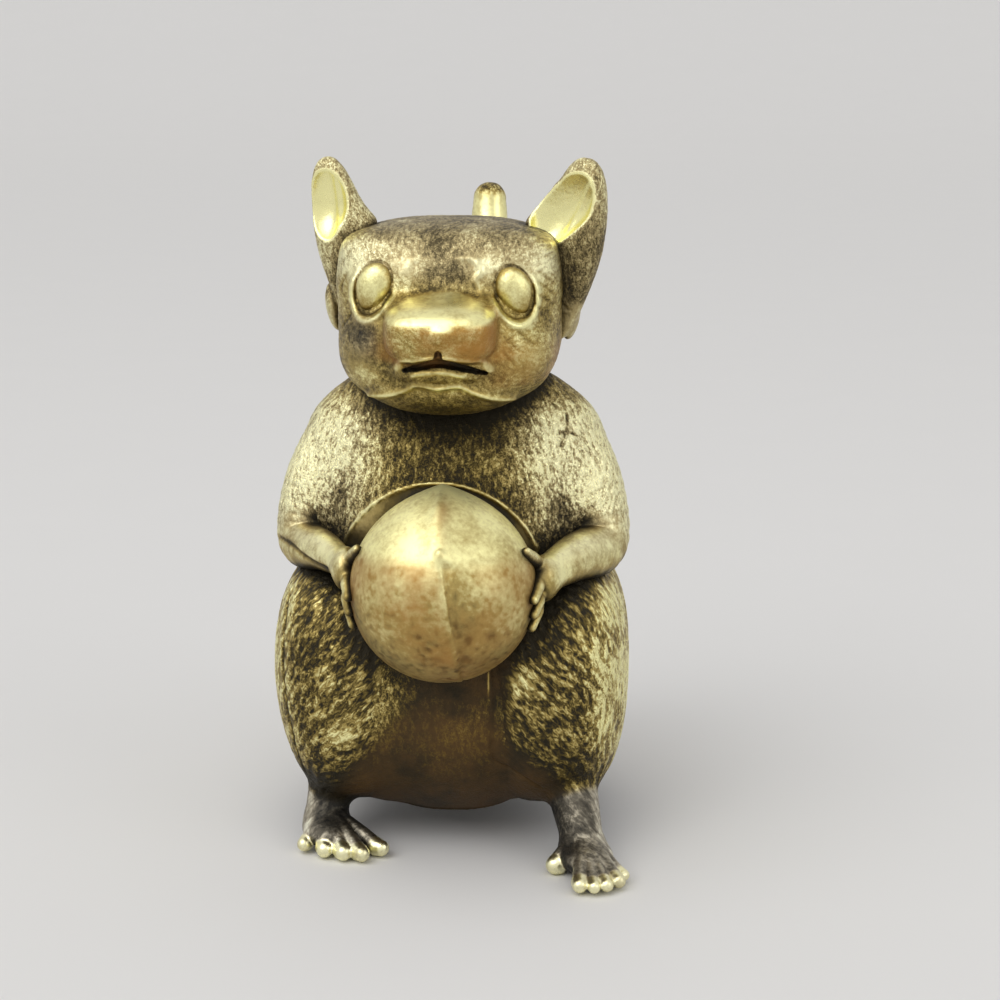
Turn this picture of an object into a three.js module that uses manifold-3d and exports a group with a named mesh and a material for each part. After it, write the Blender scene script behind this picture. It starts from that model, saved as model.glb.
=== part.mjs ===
// A seated mouse figurine in cast brass that holds a round, pointed fruit in its forepaws.
// Millimetres, +Z up. The mouse faces -Y, and its own left side is at +X.
// The figure is an assembly of castings: a hollow torso closed by a plug, a solid head on a spigot,
// and limbs, ears, eyes, tail and fruit that seat in the castings by tenons and a stud.

import * as THREE from 'three';
import { ParametricGeometry } from 'three/addons/geometries/ParametricGeometry.js';
import { mergeVertices } from 'three/addons/utils/BufferGeometryUtils.js';
import Module from 'manifold-3d';

const wasm = await Module();
wasm.setup();

// Clearances
const SEAT_GAP = 0.3;
const PIN_GAP = 0.15;

// Torso: a hollow egg that stands clear of the table
const TORSO_HALF_WIDTH = 12.6;
const TORSO_HALF_DEPTH = 12.2;
const TORSO_BASE = 2.4;
const TORSO_HEIGHT = 37.6;
const TORSO_SETBACK = 2;
const TORSO_WALL = 2.2;
const WIDTH_SKEW = 0.95;
const WIDTH_FULLNESS = 3.4;
const DEPTH_SKEW = 0.62;
const DEPTH_FULLNESS = 2;
const BASE_PLUG_RADIUS = 4;

// Belly: the torso's round front between the haunches
const BELLY_HALF = { x: 9.6, y: 10.4, z: 9.3 };
const BELLY_FORWARD = 1.7;
const BELLY_SQUARENESS = 0.83;

// Head: skull, jaw, cheeks, muzzle, bridge, lip and chin, each a rounded form given by its half sizes
const SKULL_HALF = { x: 9.1, y: 8.4, z: 7.2 };
const JAW_HALF = { x: 8.1, y: 8, z: 4.8 };
const CHEEK_HALF = { x: 2.8, y: 3.5, z: 2.9 };
const MUZZLE_HALF = { x: 4.4, y: 4.9, z: 2.2 };
const BRIDGE_HALF = { x: 2.2, y: 2.4, z: 1.9 };
const LIP_HALF = { x: 4.1, y: 3.2, z: 1.6 };
const CHIN_HALF = { x: 5.9, y: 4.8, z: 2.6 };
const SKULL_RISE = 4.4;
const SKULL_FORWARD = 1.6;
const JAW_DROP = 3;
const JAW_FORWARD = 3.4;
const CHEEK_APART = 11.2;
const CHEEK_DROP = 3;
const CHEEK_FORWARD = 5.6;
const MUZZLE_DROP = 0.4;
const MUZZLE_FORWARD = 9.2;
const MUZZLE_TILT = 11;
const BRIDGE_DROP = -0.9;
const BRIDGE_FORWARD = 8.3;
const LIP_DROP = 3.5;
const LIP_FORWARD = 9.9;
const CHIN_DROP = 5.1;
const CHIN_FORWARD = 7.2;
const SKULL_SQUARENESS = 0.62;
const JAW_SQUARENESS = 0.77;
const MUZZLE_SQUARENESS = 0.58;
const MOUTH_HALF = { x: 3.3, y: 2.2, z: 0.4 };
const MOUTH_DROP = 3.2;
const SPIGOT_RADIUS = 4.2;
const SPIGOT_LENGTH = 6;
const NECK_PIN_RADIUS = 0.7;
const NECK_PIN_RECESS = 1;
const NECK_PIN_DEPTH = 2.4;
const NECK_PIN_DROP = 5.2;

// Ears: cupped leaves that stand up and lean out, the right one closer to the skull than the left one
const EAR_HALF = { x: 2.6, y: 1.6, z: 7.6 };
const EAR_CUP_HALF = { x: 2.1, y: 1.9, z: 3.5 };
const EAR_CUP_RISE = 3.3;
const EAR_CUP_SINK = 0.15;
const EAR_OUT = { right: -0.35, left: 0.65 };
const EAR_FORWARD = 0.8;
const EAR_RISE = 4.65;
const EAR_LEAN = 11;
const EAR_TURN = { right: -6, left: -24 };
const EAR_SQUARENESS = 0.85;
const EAR_TENON_RADIUS = 0.8;
const EAR_TENON_LENGTH = 4;
const EAR_TENON_HEAD = 0.9;

// Eyes: beads set into the face
const EYE_HALF = { x: 1.5, y: 1.1, z: 2 };
const EYE_APART = 11;
const EYE_RISE = 2.15;
const EYE_SINK = 0.25;
const EYE_SLANT = 16;

// Arms: shoulder, upper arm, elbow, forearm and paw
const SHOULDER_DROP = 7;
const SHOULDER_RADIUS = 3.6;
const SHOULDER_SINK = 2.7;
const SHOULDER_BACK = 0.4;
const UPPER_ARM_RADIUS = 3.1;
const UPPER_ARM_BULGE = 0.6;
const ELBOW_DROP = 7.6;
const ELBOW_RADIUS = 2.4;
const ELBOW_FORWARD = 3.6;
const ELBOW_SINK = 0.35;
const FOREARM_RADIUS = 1.8;
const WRIST_RADIUS = 1.3;
const PAW_HALF = { x: 1.2, y: 1.9, z: 2.2 };
const PAW_OUT = 0.55;
const PAW_BACK = 1.7;
const PAW_RISE = 1;
const ARM_TENON_RADIUS = 1.4;

// Hind legs: a haunch on the flank, a shank and a foot with toes
const HAUNCH_HALF_WIDTH = 6.65;
const HAUNCH_HALF_DEPTH = 10.8;
const HAUNCH_BELOW_ELBOW = 1;
const HAUNCH_CLEARANCE = 3;
const HAUNCH_SQUARENESS = 0.73;
const HAUNCH_SINK = 4.4;
const HAUNCH_FORWARD = 1.5;
const HAUNCH_TENON_RADIUS = 1.8;
const KNEE_RADIUS = 2.7;
const SHANK_RADIUS = 2;
const FOOT_HALF = { x: 2.3, y: 3.2, z: 1.7 };
const FOOT_SINK = 0.3;
const FOOT_REACH = 1.4;
const TOE_HALF = { x: 0.7, y: 1.7, z: 0.95 };
const TOE_SINK = 0.2;
const TOE_ROOT_RADIUS = 0.6;
const TENON_REACH = 1;

// Where each foot stands: its ankle, out and forward of the haunch's middle, how many degrees it turns
// towards the mouse's left, and where its toes end, left and forward of the ankle
const RIGHT_STEP = {
  out: 2.2,
  forward: 5.7,
  turn: 20,
  toes: [[-1.5, 4], [0.6, 5], [2.2, 5.5], [3.8, 5.7], [5.4, 4.3]],
};
const LEFT_STEP = {
  out: 3,
  forward: 10,
  turn: 14,
  toes: [[-2.3, 2.7], [0, 6.7], [1.2, 6.9], [2.25, 6.4], [3.3, 5.5], [3.95, 4.3]],
};

// Tail: it leaves the rump, rests on the table and rises behind the back
const TAIL_ROOT_RADIUS = 2.3;
const TAIL_NECK_RADIUS = 2.2;
const TAIL_TIP_RADIUS = 1.45;
const TAIL_ROOT_RISE = 4;
const TAIL_BEND = 4.4;
const TAIL_BEND_BACK = 3;
const TAIL_RISE = 9;
const TAIL_REST_SINK = 0.4;
const TAIL_TIP_SIDE = 2;
const TAIL_TIP_BACK = 7.2;
const TAIL_NECK_BACK = 5.2;
const TAIL_NECK_DROP = 9;

// Where the tail passes behind the back: height above the torso's base, sideways place, distance kept
const TAIL_LOW = { rise: 14, side: 0.5, away: 1.6 };
const TAIL_MIDDLE = { rise: 22, side: 1, away: 0.5 };
const TAIL_HIGH = { rise: 31, side: 1.5, away: 1.6 };

// Fruit: a ball drawn up to a point, with a ridge down its front, seated on the chest
const FRUIT_RADIUS = 7.3;
const FRUIT_HALF_DEPTH = 7.2;
const FRUIT_TIP = 1.2;
const FRUIT_TIP_SPREAD = 20;
const FRUIT_RIDGE = 0.35;
const FRUIT_RIDGE_SPREAD = 0.2;
const FRUIT_ASIDE = 0.25;
const FRUIT_DROP = 1.8;
const FRUIT_STANDOFF = 3.9;
const STUD_RADIUS = 1.1;
const STUD_IN_FRUIT = 4;
const STUD_IN_CAVITY = 1;

// Facets
const COARSE = 10;
const MEDIUM = 12;
const FINE = 24;
const CAP_ROWS = 3;
const ARM_ROWS = 16;
const SHANK_ROWS = 5;
const TAIL_ROWS = 36;
const MERGE_DISTANCE = 1e-4;

const SIDES = { right: -1, left: 1 };
const ENDS = { front: -1, back: 1 };

// Finishes: fur that is darkened in its strokes, rubbed bright metal, and plain hidden metal
const ANTIQUE_BRASS = { color: 0x9c8448, roughness: 0.42 };
const POLISHED_BRASS = { color: 0xd8c06c, roughness: 0.22 };
const PLAIN_BRASS = { color: 0xb89a50, roughness: 0.5 };

// Solids

function solid(geometry, matrix = new THREE.Matrix4()) {
  const bare = geometry.clone().applyMatrix4(matrix);
  bare.deleteAttribute('normal');
  bare.deleteAttribute('uv');
  const merged = mergeVertices(bare, MERGE_DISTANCE);
  const corners = merged.index.array;
  const triangles = [];
  for (let i = 0; i < corners.length; i += 3) {
    const [a, b, c] = corners.subarray(i, i + 3);
    if (a !== b && b !== c && c !== a) triangles.push(a, b, c);
  }
  return new wasm.Manifold(new wasm.Mesh({
    numProp: 3,
    vertProperties: merged.attributes.position.array,
    triVerts: new Uint32Array(triangles),
  }));
}

function piece(name, made, finish) {
  const { vertProperties, triVerts } = made.getMesh();
  const geometry = new THREE.BufferGeometry();
  geometry.setAttribute('position', new THREE.BufferAttribute(vertProperties, 3));
  geometry.setIndex(new THREE.BufferAttribute(triVerts, 1));
  geometry.computeVertexNormals();
  const mesh = new THREE.Mesh(geometry, new THREE.MeshStandardMaterial({ ...finish, metalness: 1 }));
  mesh.name = name;
  return mesh;
}

function grown(half, by) {
  return { x: half.x + by, y: half.y + by, z: half.z + by };
}

function degrees(angle) {
  return THREE.MathUtils.degToRad(angle);
}

// A power that keeps the sign, for forms between an ellipsoid and a box.
function signedPower(value, power) {
  return Math.sign(value) * Math.abs(value) ** power;
}

function placed(place, turn) {
  return new THREE.Matrix4().compose(
    place,
    new THREE.Quaternion().setFromEuler(turn),
    new THREE.Vector3(1, 1, 1),
  );
}

// A rounded form with its poles on Z. Squareness 1 is an ellipsoid, and less is boxier.
function rounded(half, place, { turn = new THREE.Euler(), squareness = 1, around = MEDIUM } = {}) {
  const shape = new ParametricGeometry((u, v, target) => {
    const turnAround = 2 * Math.PI * u;
    const rise = Math.PI * (v - 0.5);
    const ring = signedPower(Math.cos(rise), squareness);
    target.set(
      half.x * ring * signedPower(Math.cos(turnAround), squareness),
      half.y * ring * signedPower(Math.sin(turnAround), squareness),
      half.z * signedPower(Math.sin(rise), squareness),
    );
  }, around, Math.round(around * 0.6));
  return solid(shape, placed(place, turn));
}

function rod(from, to, radius, sides = MEDIUM) {
  const along = to.clone().sub(from);
  const shape = new THREE.CylinderGeometry(radius, radius, along.length(), sides);
  const up = new THREE.Vector3(0, 1, 0);
  const turn = new THREE.Quaternion().setFromUnitVectors(up, along.clone().normalize());
  const middle = from.clone().addScaledVector(along, 0.5);
  return solid(shape, new THREE.Matrix4().compose(middle, turn, new THREE.Vector3(1, 1, 1)));
}

// A tapering limb with round ends along a smooth curve. The radii are spread evenly over its length.
function limb(points, radii, rows, grow = 0, around = COARSE) {
  const curve = new THREE.CatmullRomCurve3(points);
  const frames = curve.computeFrenetFrames(rows);
  const allRows = rows + 2 * CAP_ROWS;
  const radiusAt = (share) => {
    const place = share * (radii.length - 1);
    const first = Math.min(Math.floor(place), radii.length - 2);
    return THREE.MathUtils.lerp(radii[first], radii[first + 1], place - first) + grow;
  };
  const shape = new ParametricGeometry((u, v, target) => {
    const row = Math.round(v * allRows) - CAP_ROWS;
    const onCurve = THREE.MathUtils.clamp(row, 0, rows);
    const capAngle = (Math.abs(row - onCurve) / CAP_ROWS) * (Math.PI / 2);
    const radius = radiusAt(onCurve / rows);
    const overhang = Math.sign(row - onCurve) * radius * Math.sin(capAngle);
    const angle = 2 * Math.PI * u;
    target.copy(curve.getPointAt(onCurve / rows))
      .addScaledVector(frames.tangents[onCurve], overhang)
      .addScaledVector(frames.normals[onCurve], radius * Math.cos(capAngle) * Math.cos(angle))
      .addScaledVector(frames.binormals[onCurve], radius * Math.cos(capAngle) * Math.sin(angle));
  }, around, allRows);
  return solid(shape);
}

// Torso surface

function egg(share, skew, fullness) {
  const across = Math.abs(2 * share ** skew - 1);
  return Math.max(0, 1 - across ** fullness) ** (1 / fullness);
}

function torsoCentre(share) {
  return TORSO_SETBACK * (1 - share ** 2);
}

function torsoSection(z) {
  const share = THREE.MathUtils.clamp((z - TORSO_BASE) / TORSO_HEIGHT, 0, 1);
  return {
    halfWidth: TORSO_HALF_WIDTH * egg(share, WIDTH_SKEW, WIDTH_FULLNESS),
    front: torsoCentre(share) - TORSO_HALF_DEPTH * egg(share, DEPTH_SKEW, DEPTH_FULLNESS),
    back: torsoCentre(share) + TORSO_HALF_DEPTH * egg(share, DEPTH_SKEW, DEPTH_FULLNESS),
  };
}

// The torso's egg, grown or shrunk by a distance.
function eggForm(grow) {
  const shape = new ParametricGeometry((u, v, target) => {
    const share = (1 - Math.cos(Math.PI * v)) / 2;
    const angle = 2 * Math.PI * u;
    const halfWidth = (TORSO_HALF_WIDTH + grow) * egg(share, WIDTH_SKEW, WIDTH_FULLNESS);
    const halfDepth = (TORSO_HALF_DEPTH + grow) * egg(share, DEPTH_SKEW, DEPTH_FULLNESS);
    target.set(
      halfWidth * Math.cos(angle),
      torsoCentre(share) + halfDepth * Math.sin(angle),
      TORSO_BASE - grow + share * (TORSO_HEIGHT + 2 * grow),
    );
  }, FINE, Math.round(FINE * 0.7));
  return solid(shape);
}

// The torso's outside: the egg with the belly.
function torsoForm(grow) {
  const place = new THREE.Vector3(0, -BELLY_FORWARD, TORSO_BASE + BELLY_HALF.z);
  const belly = rounded(grown(BELLY_HALF, grow), place, { squareness: BELLY_SQUARENESS, around: FINE });
  return eggForm(grow).add(belly);
}

const torsoTop = TORSO_BASE + TORSO_HEIGHT;
const shoulderHeight = torsoTop - SHOULDER_DROP;
const elbowHeight = shoulderHeight - ELBOW_DROP;
const fruitHeight = elbowHeight - FRUIT_DROP;
const torsoSeat = torsoForm(SEAT_GAP);

// The haunches fill the height between the table and the elbows.
const haunchTop = elbowHeight - HAUNCH_BELOW_ELBOW;
const haunchHeight = (haunchTop + HAUNCH_CLEARANCE) / 2;
const haunchHalf = { x: HAUNCH_HALF_WIDTH, y: HAUNCH_HALF_DEPTH, z: (haunchTop - HAUNCH_CLEARANCE) / 2 };

// Everything below the table top, which flattens the feet and the tail where they rest.
const table = rod(new THREE.Vector3(0, 0, -TORSO_HEIGHT), new THREE.Vector3(), 4 * TORSO_HALF_WIDTH);

// Fruit

const fruitPlace = new THREE.Vector3(
  FRUIT_ASIDE,
  torsoSection(fruitHeight).front - FRUIT_STANDOFF,
  fruitHeight,
);

// The fruit's radius at an angle from its tip: a ball that rises to the point within a few tip spreads.
function fruitRadius(fromTip) {
  return FRUIT_RADIUS + FRUIT_TIP * Math.exp(-fromTip / degrees(FRUIT_TIP_SPREAD));
}

function fruitForm(grow) {
  const shape = new ParametricGeometry((u, v, target) => {
    const angle = 2 * Math.PI * u;
    const fromTip = Math.PI * (1 - v);
    const fromRidge = Math.PI - Math.abs(Math.abs(angle - 1.5 * Math.PI) - Math.PI);
    const ridge = FRUIT_RIDGE * Math.exp(-((fromRidge / FRUIT_RIDGE_SPREAD) ** 2)) * Math.sin(fromTip);
    const radius = fruitRadius(fromTip) + grow + ridge;
    const depth = (FRUIT_HALF_DEPTH + grow) / (FRUIT_RADIUS + grow);
    target.set(
      radius * Math.sin(fromTip) * Math.cos(angle),
      radius * Math.sin(fromTip) * Math.sin(angle) * depth,
      radius * Math.cos(fromTip),
    );
  }, FINE, Math.round(FINE * 0.6));
  return solid(shape, new THREE.Matrix4().setPosition(fruitPlace));
}

const fruitSeat = fruitForm(SEAT_GAP);

function studRod(radius) {
  const wallInside = torsoSection(fruitHeight).front + TORSO_WALL + STUD_IN_CAVITY;
  const from = fruitPlace.clone().setY(wallInside);
  const to = fruitPlace.clone().setY(torsoSection(fruitHeight).front - STUD_IN_FRUIT);
  return rod(from, to, radius);
}

function makeFruit() {
  return fruitForm(0).subtract(torsoSeat).subtract(studRod(STUD_RADIUS + PIN_GAP));
}

// Head

const skullPlace = new THREE.Vector3(0, -SKULL_FORWARD, torsoTop + SKULL_RISE);

function onHead(forward, drop, aside = 0) {
  return skullPlace.clone().add(new THREE.Vector3(aside, -forward, -drop));
}

function headForm(grow) {
  const skull = rounded(grown(SKULL_HALF, grow), skullPlace, { squareness: SKULL_SQUARENESS, around: FINE });
  const jaw = rounded(
    grown(JAW_HALF, grow),
    onHead(JAW_FORWARD, JAW_DROP),
    { squareness: JAW_SQUARENESS, around: FINE },
  );
  const muzzle = rounded(
    grown(MUZZLE_HALF, grow),
    onHead(MUZZLE_FORWARD, MUZZLE_DROP),
    { turn: new THREE.Euler(degrees(MUZZLE_TILT), 0, 0), squareness: MUZZLE_SQUARENESS, around: FINE },
  );
  let head = skull.add(jaw).add(muzzle)
    .add(rounded(grown(BRIDGE_HALF, grow), onHead(BRIDGE_FORWARD, BRIDGE_DROP)))
    .add(rounded(grown(LIP_HALF, grow), onHead(LIP_FORWARD, LIP_DROP)))
    .add(rounded(grown(CHIN_HALF, grow), onHead(CHIN_FORWARD, CHIN_DROP)));
  for (const side of Object.values(SIDES)) {
    const cheek = onHead(CHEEK_FORWARD, CHEEK_DROP, side * CHEEK_APART / 2);
    head = head.add(rounded(grown(CHEEK_HALF, grow), cheek));
  }
  return head;
}

const spigotFoot = torsoTop - TORSO_WALL - SPIGOT_LENGTH;
const neckPinHeight = torsoTop - NECK_PIN_DROP;

function spigotRod(radius, foot) {
  return rod(new THREE.Vector3(0, 0, foot), skullPlace.clone().setY(0), radius);
}

// A neck pin runs from its countersunk outer end through the torso's wall into the spigot,
// one under the chin and one at the nape.
function neckPin(end, grow, recess = NECK_PIN_RECESS) {
  const inner = ENDS[end] * (SPIGOT_RADIUS - NECK_PIN_DEPTH - grow);
  const outer = torsoSection(neckPinHeight)[end] - ENDS[end] * recess;
  const start = new THREE.Vector3(0, inner, neckPinHeight);
  const finish = new THREE.Vector3(0, outer, neckPinHeight);
  return rod(start, finish, NECK_PIN_RADIUS + grow, COARSE);
}

function neckPinBore(end) {
  return neckPin(end, PIN_GAP, -2 * SEAT_GAP);
}

// The eye's place: on the face where the skull's front surface is, sunk by a little.
function eyePlace(side) {
  const share = 1
    - (EYE_APART / 2 / SKULL_HALF.x) ** (2 / SKULL_SQUARENESS)
    - (EYE_RISE / SKULL_HALF.z) ** (2 / SKULL_SQUARENESS);
  const forward = SKULL_HALF.y * share ** (SKULL_SQUARENESS / 2);
  return skullPlace.clone().add(new THREE.Vector3(side * EYE_APART / 2, EYE_SINK - forward, EYE_RISE));
}

function eyeForm(side, grow) {
  const turn = new THREE.Euler(0, -side * degrees(EYE_SLANT), 0);
  return rounded(grown(EYE_HALF, grow), eyePlace(side), { turn, around: MEDIUM });
}

// The ear's place: its foot stands on the side of the skull.
function earPlace(name) {
  const out = SIDES[name] * (SKULL_HALF.x + EAR_OUT[name]);
  return skullPlace.clone().add(new THREE.Vector3(out, -EAR_FORWARD, EAR_RISE));
}

function earTenon(name, radius) {
  const side = SIDES[name];
  const outer = earPlace(name).setZ(skullPlace.z);
  outer.x += side * EAR_TENON_HEAD;
  const inner = outer.clone().setX(side * (SKULL_HALF.x - EAR_TENON_LENGTH));
  return rod(outer, inner, radius, COARSE);
}

function makeEar(name, headSeat) {
  const side = SIDES[name];
  const turn = new THREE.Euler(0, side * degrees(EAR_LEAN), degrees(EAR_TURN[name]), 'ZYX');
  const leaf = rounded(EAR_HALF, earPlace(name), { turn, squareness: EAR_SQUARENESS });
  const cupSpot = new THREE.Vector3(0, -EAR_HALF.y - EAR_CUP_SINK, EAR_CUP_RISE).applyEuler(turn);
  const cup = rounded(EAR_CUP_HALF, earPlace(name).add(cupSpot), { turn, squareness: EAR_SQUARENESS });
  return leaf.subtract(cup).subtract(headSeat).add(earTenon(name, EAR_TENON_RADIUS));
}

function makeHead() {
  const mouth = rounded(MOUTH_HALF, onHead(MUZZLE_FORWARD + MUZZLE_HALF.y, MOUTH_DROP));
  let head = headForm(0).subtract(torsoSeat).subtract(mouth).add(spigotRod(SPIGOT_RADIUS, spigotFoot));
  for (const [name, side] of Object.entries(SIDES)) {
    head = head
      .subtract(eyeForm(side, SEAT_GAP))
      .subtract(earTenon(name, EAR_TENON_RADIUS + PIN_GAP));
  }
  return head.subtract(neckPinBore('front')).subtract(neckPinBore('back'));
}

// Limbs

function haunchPlace(side) {
  return new THREE.Vector3(side * (TORSO_HALF_WIDTH - HAUNCH_SINK), -HAUNCH_FORWARD, haunchHeight);
}

function haunchForm(side, grow) {
  return rounded(
    grown(haunchHalf, grow),
    haunchPlace(side),
    { squareness: HAUNCH_SQUARENESS, around: FINE },
  );
}

function shoulderPlace(side) {
  const out = torsoSection(shoulderHeight).halfWidth - SHOULDER_SINK;
  return new THREE.Vector3(side * out, SHOULDER_BACK, shoulderHeight);
}

function elbowPlace(side) {
  const out = torsoSection(elbowHeight).halfWidth - ELBOW_SINK;
  return new THREE.Vector3(side * out, -ELBOW_FORWARD, elbowHeight);
}

function upperArmPlace(side) {
  return shoulderPlace(side).lerp(elbowPlace(side), 0.5).add(new THREE.Vector3(side * UPPER_ARM_BULGE, 0, 0));
}

function armTenon(side, radius) {
  const outer = upperArmPlace(side).add(new THREE.Vector3(side * TENON_REACH, 0, 0));
  const inside = torsoSection(outer.z).halfWidth - TORSO_WALL - TENON_REACH;
  return rod(outer, outer.clone().setX(side * inside), radius, COARSE);
}

function makeArm(side) {
  const elbow = elbowPlace(side);
  const paw = fruitPlace.clone().add(new THREE.Vector3(side * (FRUIT_RADIUS + PAW_OUT), PAW_BACK, PAW_RISE));
  const made = limb(
    [shoulderPlace(side), upperArmPlace(side), elbow, elbow.clone().lerp(paw, 0.55), paw],
    [SHOULDER_RADIUS, UPPER_ARM_RADIUS, ELBOW_RADIUS, FOREARM_RADIUS, WRIST_RADIUS],
    ARM_ROWS,
  );
  return made
    .add(rounded(PAW_HALF, paw, { around: COARSE }))
    .subtract(torsoSeat)
    .subtract(fruitSeat)
    .subtract(haunchForm(side, SEAT_GAP))
    .add(armTenon(side, ARM_TENON_RADIUS));
}

function haunchTenon(side, radius) {
  const outer = haunchPlace(side).setX(side * TORSO_HALF_WIDTH);
  const inside = torsoSection(haunchHeight).halfWidth - TORSO_WALL - TENON_REACH;
  return rod(outer, outer.clone().setX(side * inside), radius, COARSE);
}

function anklePlace(side, step) {
  const place = haunchPlace(side).add(new THREE.Vector3(side * step.out, -step.forward, 0));
  return place.setZ(FOOT_HALF.z - FOOT_SINK);
}

// One foot: a sloping instep with its toes.
function footForm(ankle, step) {
  const turn = new THREE.Euler(0, 0, degrees(step.turn));
  const forward = new THREE.Vector3(0, -1, 0).applyEuler(turn);
  let foot = rounded(FOOT_HALF, ankle.clone().addScaledVector(forward, FOOT_REACH), { turn, around: COARSE });
  for (const [aside, ahead] of step.toes) {
    const way = new THREE.Vector3(aside, -ahead, 0);
    const toeTurn = new THREE.Euler(0, 0, Math.atan2(aside, ahead));
    const middle = ankle.clone().add(way.clone().setLength(way.length() - TOE_HALF.y));
    middle.setZ(TOE_HALF.z - TOE_SINK);
    foot = foot
      .add(rounded(TOE_HALF, middle, { turn: toeTurn, around: COARSE }))
      .add(rod(ankle, middle, TOE_ROOT_RADIUS, COARSE));
  }
  return foot;
}

function makeHindLeg(side, step) {
  const ankle = anklePlace(side, step);
  const knee = haunchPlace(side).lerp(ankle, 0.5);
  const shank = limb([knee, knee.clone().lerp(ankle, 0.5), ankle], [KNEE_RADIUS, SHANK_RADIUS], SHANK_ROWS);
  return haunchForm(side, 0)
    .add(shank)
    .add(footForm(ankle, step))
    .subtract(torsoSeat)
    .subtract(fruitSeat)
    .add(haunchTenon(side, HAUNCH_TENON_RADIUS))
    .subtract(table);
}

// Tail

function tailPoints() {
  const clear = SEAT_GAP + TAIL_ROOT_RADIUS;
  const behind = (way) => {
    const z = TORSO_BASE + way.rise;
    return new THREE.Vector3(way.side, torsoSection(z).back + clear + way.away, z);
  };
  const rest = TAIL_ROOT_RADIUS - TAIL_REST_SINK;
  const rump = torsoSection(TORSO_BASE + TAIL_ROOT_RISE).back;
  const skullBack = skullPlace.y + SKULL_HALF.y;
  const tip = skullPlace.z + TAIL_RISE - TAIL_TIP_RADIUS;
  const onBend = (angle) => new THREE.Vector3(
    0,
    rump + TAIL_BEND_BACK + TAIL_BEND * Math.cos(degrees(angle)),
    rest + TAIL_BEND + TAIL_BEND * Math.sin(degrees(angle)),
  );
  return [
    new THREE.Vector3(0, rump - TORSO_WALL - TENON_REACH, TORSO_BASE + TAIL_ROOT_RISE),
    onBend(-125),
    onBend(-90),
    onBend(-50),
    onBend(-10),
    behind(TAIL_LOW),
    behind(TAIL_MIDDLE),
    behind(TAIL_HIGH),
    new THREE.Vector3(TAIL_TIP_SIDE, skullBack + TAIL_NECK_BACK, tip - TAIL_NECK_DROP),
    new THREE.Vector3(TAIL_TIP_SIDE, skullBack + TAIL_TIP_BACK, tip),
  ];
}

function tailForm(grow) {
  const radii = [
    TAIL_ROOT_RADIUS,
    TAIL_ROOT_RADIUS,
    TAIL_ROOT_RADIUS,
    TAIL_NECK_RADIUS,
    TAIL_NECK_RADIUS,
    TAIL_TIP_RADIUS,
  ];
  return limb(tailPoints(), radii, TAIL_ROWS, grow);
}

function makeTail() {
  return tailForm(0).subtract(table);
}

// Torso casting and the plug that closes its core hole

function plugColumn(radius) {
  const centre = torsoCentre(0);
  const below = new THREE.Vector3(0, centre, TORSO_BASE - 2 * SEAT_GAP);
  return rod(below, below.clone().setZ(TORSO_BASE + 2 * TORSO_WALL), radius, MEDIUM);
}

function makeBasePlug() {
  return eggForm(0).subtract(eggForm(-TORSO_WALL)).intersect(plugColumn(BASE_PLUG_RADIUS));
}

function makeTorso() {
  let torso = torsoForm(0)
    .subtract(eggForm(-TORSO_WALL))
    .subtract(plugColumn(BASE_PLUG_RADIUS + SEAT_GAP))
    .subtract(spigotRod(SPIGOT_RADIUS + SEAT_GAP, spigotFoot - SEAT_GAP))
    .subtract(tailForm(SEAT_GAP))
    .subtract(studRod(STUD_RADIUS + PIN_GAP));
  for (const side of Object.values(SIDES)) {
    torso = torso
      .subtract(armTenon(side, ARM_TENON_RADIUS + PIN_GAP))
      .subtract(haunchTenon(side, HAUNCH_TENON_RADIUS + PIN_GAP));
  }
  return torso.subtract(neckPinBore('front')).subtract(neckPinBore('back'));
}

// Assembly

const figurine = new THREE.Group();
const headSeat = headForm(SEAT_GAP);

figurine.add(
  piece('torso_casting', makeTorso(), ANTIQUE_BRASS),
  piece('base_plug', makeBasePlug(), PLAIN_BRASS),
  piece('head_casting', makeHead(), ANTIQUE_BRASS),
  piece('tail', makeTail(), ANTIQUE_BRASS),
  piece('fruit', makeFruit(), POLISHED_BRASS),
  piece('fruit_stud', studRod(STUD_RADIUS), PLAIN_BRASS),
  piece('front_neck_pin', neckPin('front', 0), PLAIN_BRASS),
  piece('back_neck_pin', neckPin('back', 0), PLAIN_BRASS),
);
for (const [name, side] of Object.entries(SIDES)) {
  const step = side < 0 ? RIGHT_STEP : LEFT_STEP;
  figurine.add(
    piece(`${name}_ear`, makeEar(name, headSeat), ANTIQUE_BRASS),
    piece(`${name}_eye`, eyeForm(side, 0), POLISHED_BRASS),
    piece(`${name}_arm`, makeArm(side), ANTIQUE_BRASS),
    piece(`${name}_hind_leg`, makeHindLeg(side, step), ANTIQUE_BRASS),
  );
}

// The origin is on the table, under the middle of the figure's box.
const box = new THREE.Box3().setFromObject(figurine);
const middle = box.getCenter(new THREE.Vector3());
figurine.position.set(-middle.x, -middle.y, -box.min.z);

export default figurine;
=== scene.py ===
"""A seated mouse figurine in antique brass, sculpted piece by piece over its CAD frame.

Each piece is shaped as a field of distances in millimetres, skinned into a mesh, chased with
fur strokes, and finished in brass that is dark in the hollows, from patina and painted shade,
and bright on top, from wear and painted highlights.
"""

import math
from typing import NamedTuple

import bpy
import numpy as np
from mathutils import Matrix, Vector


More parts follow.
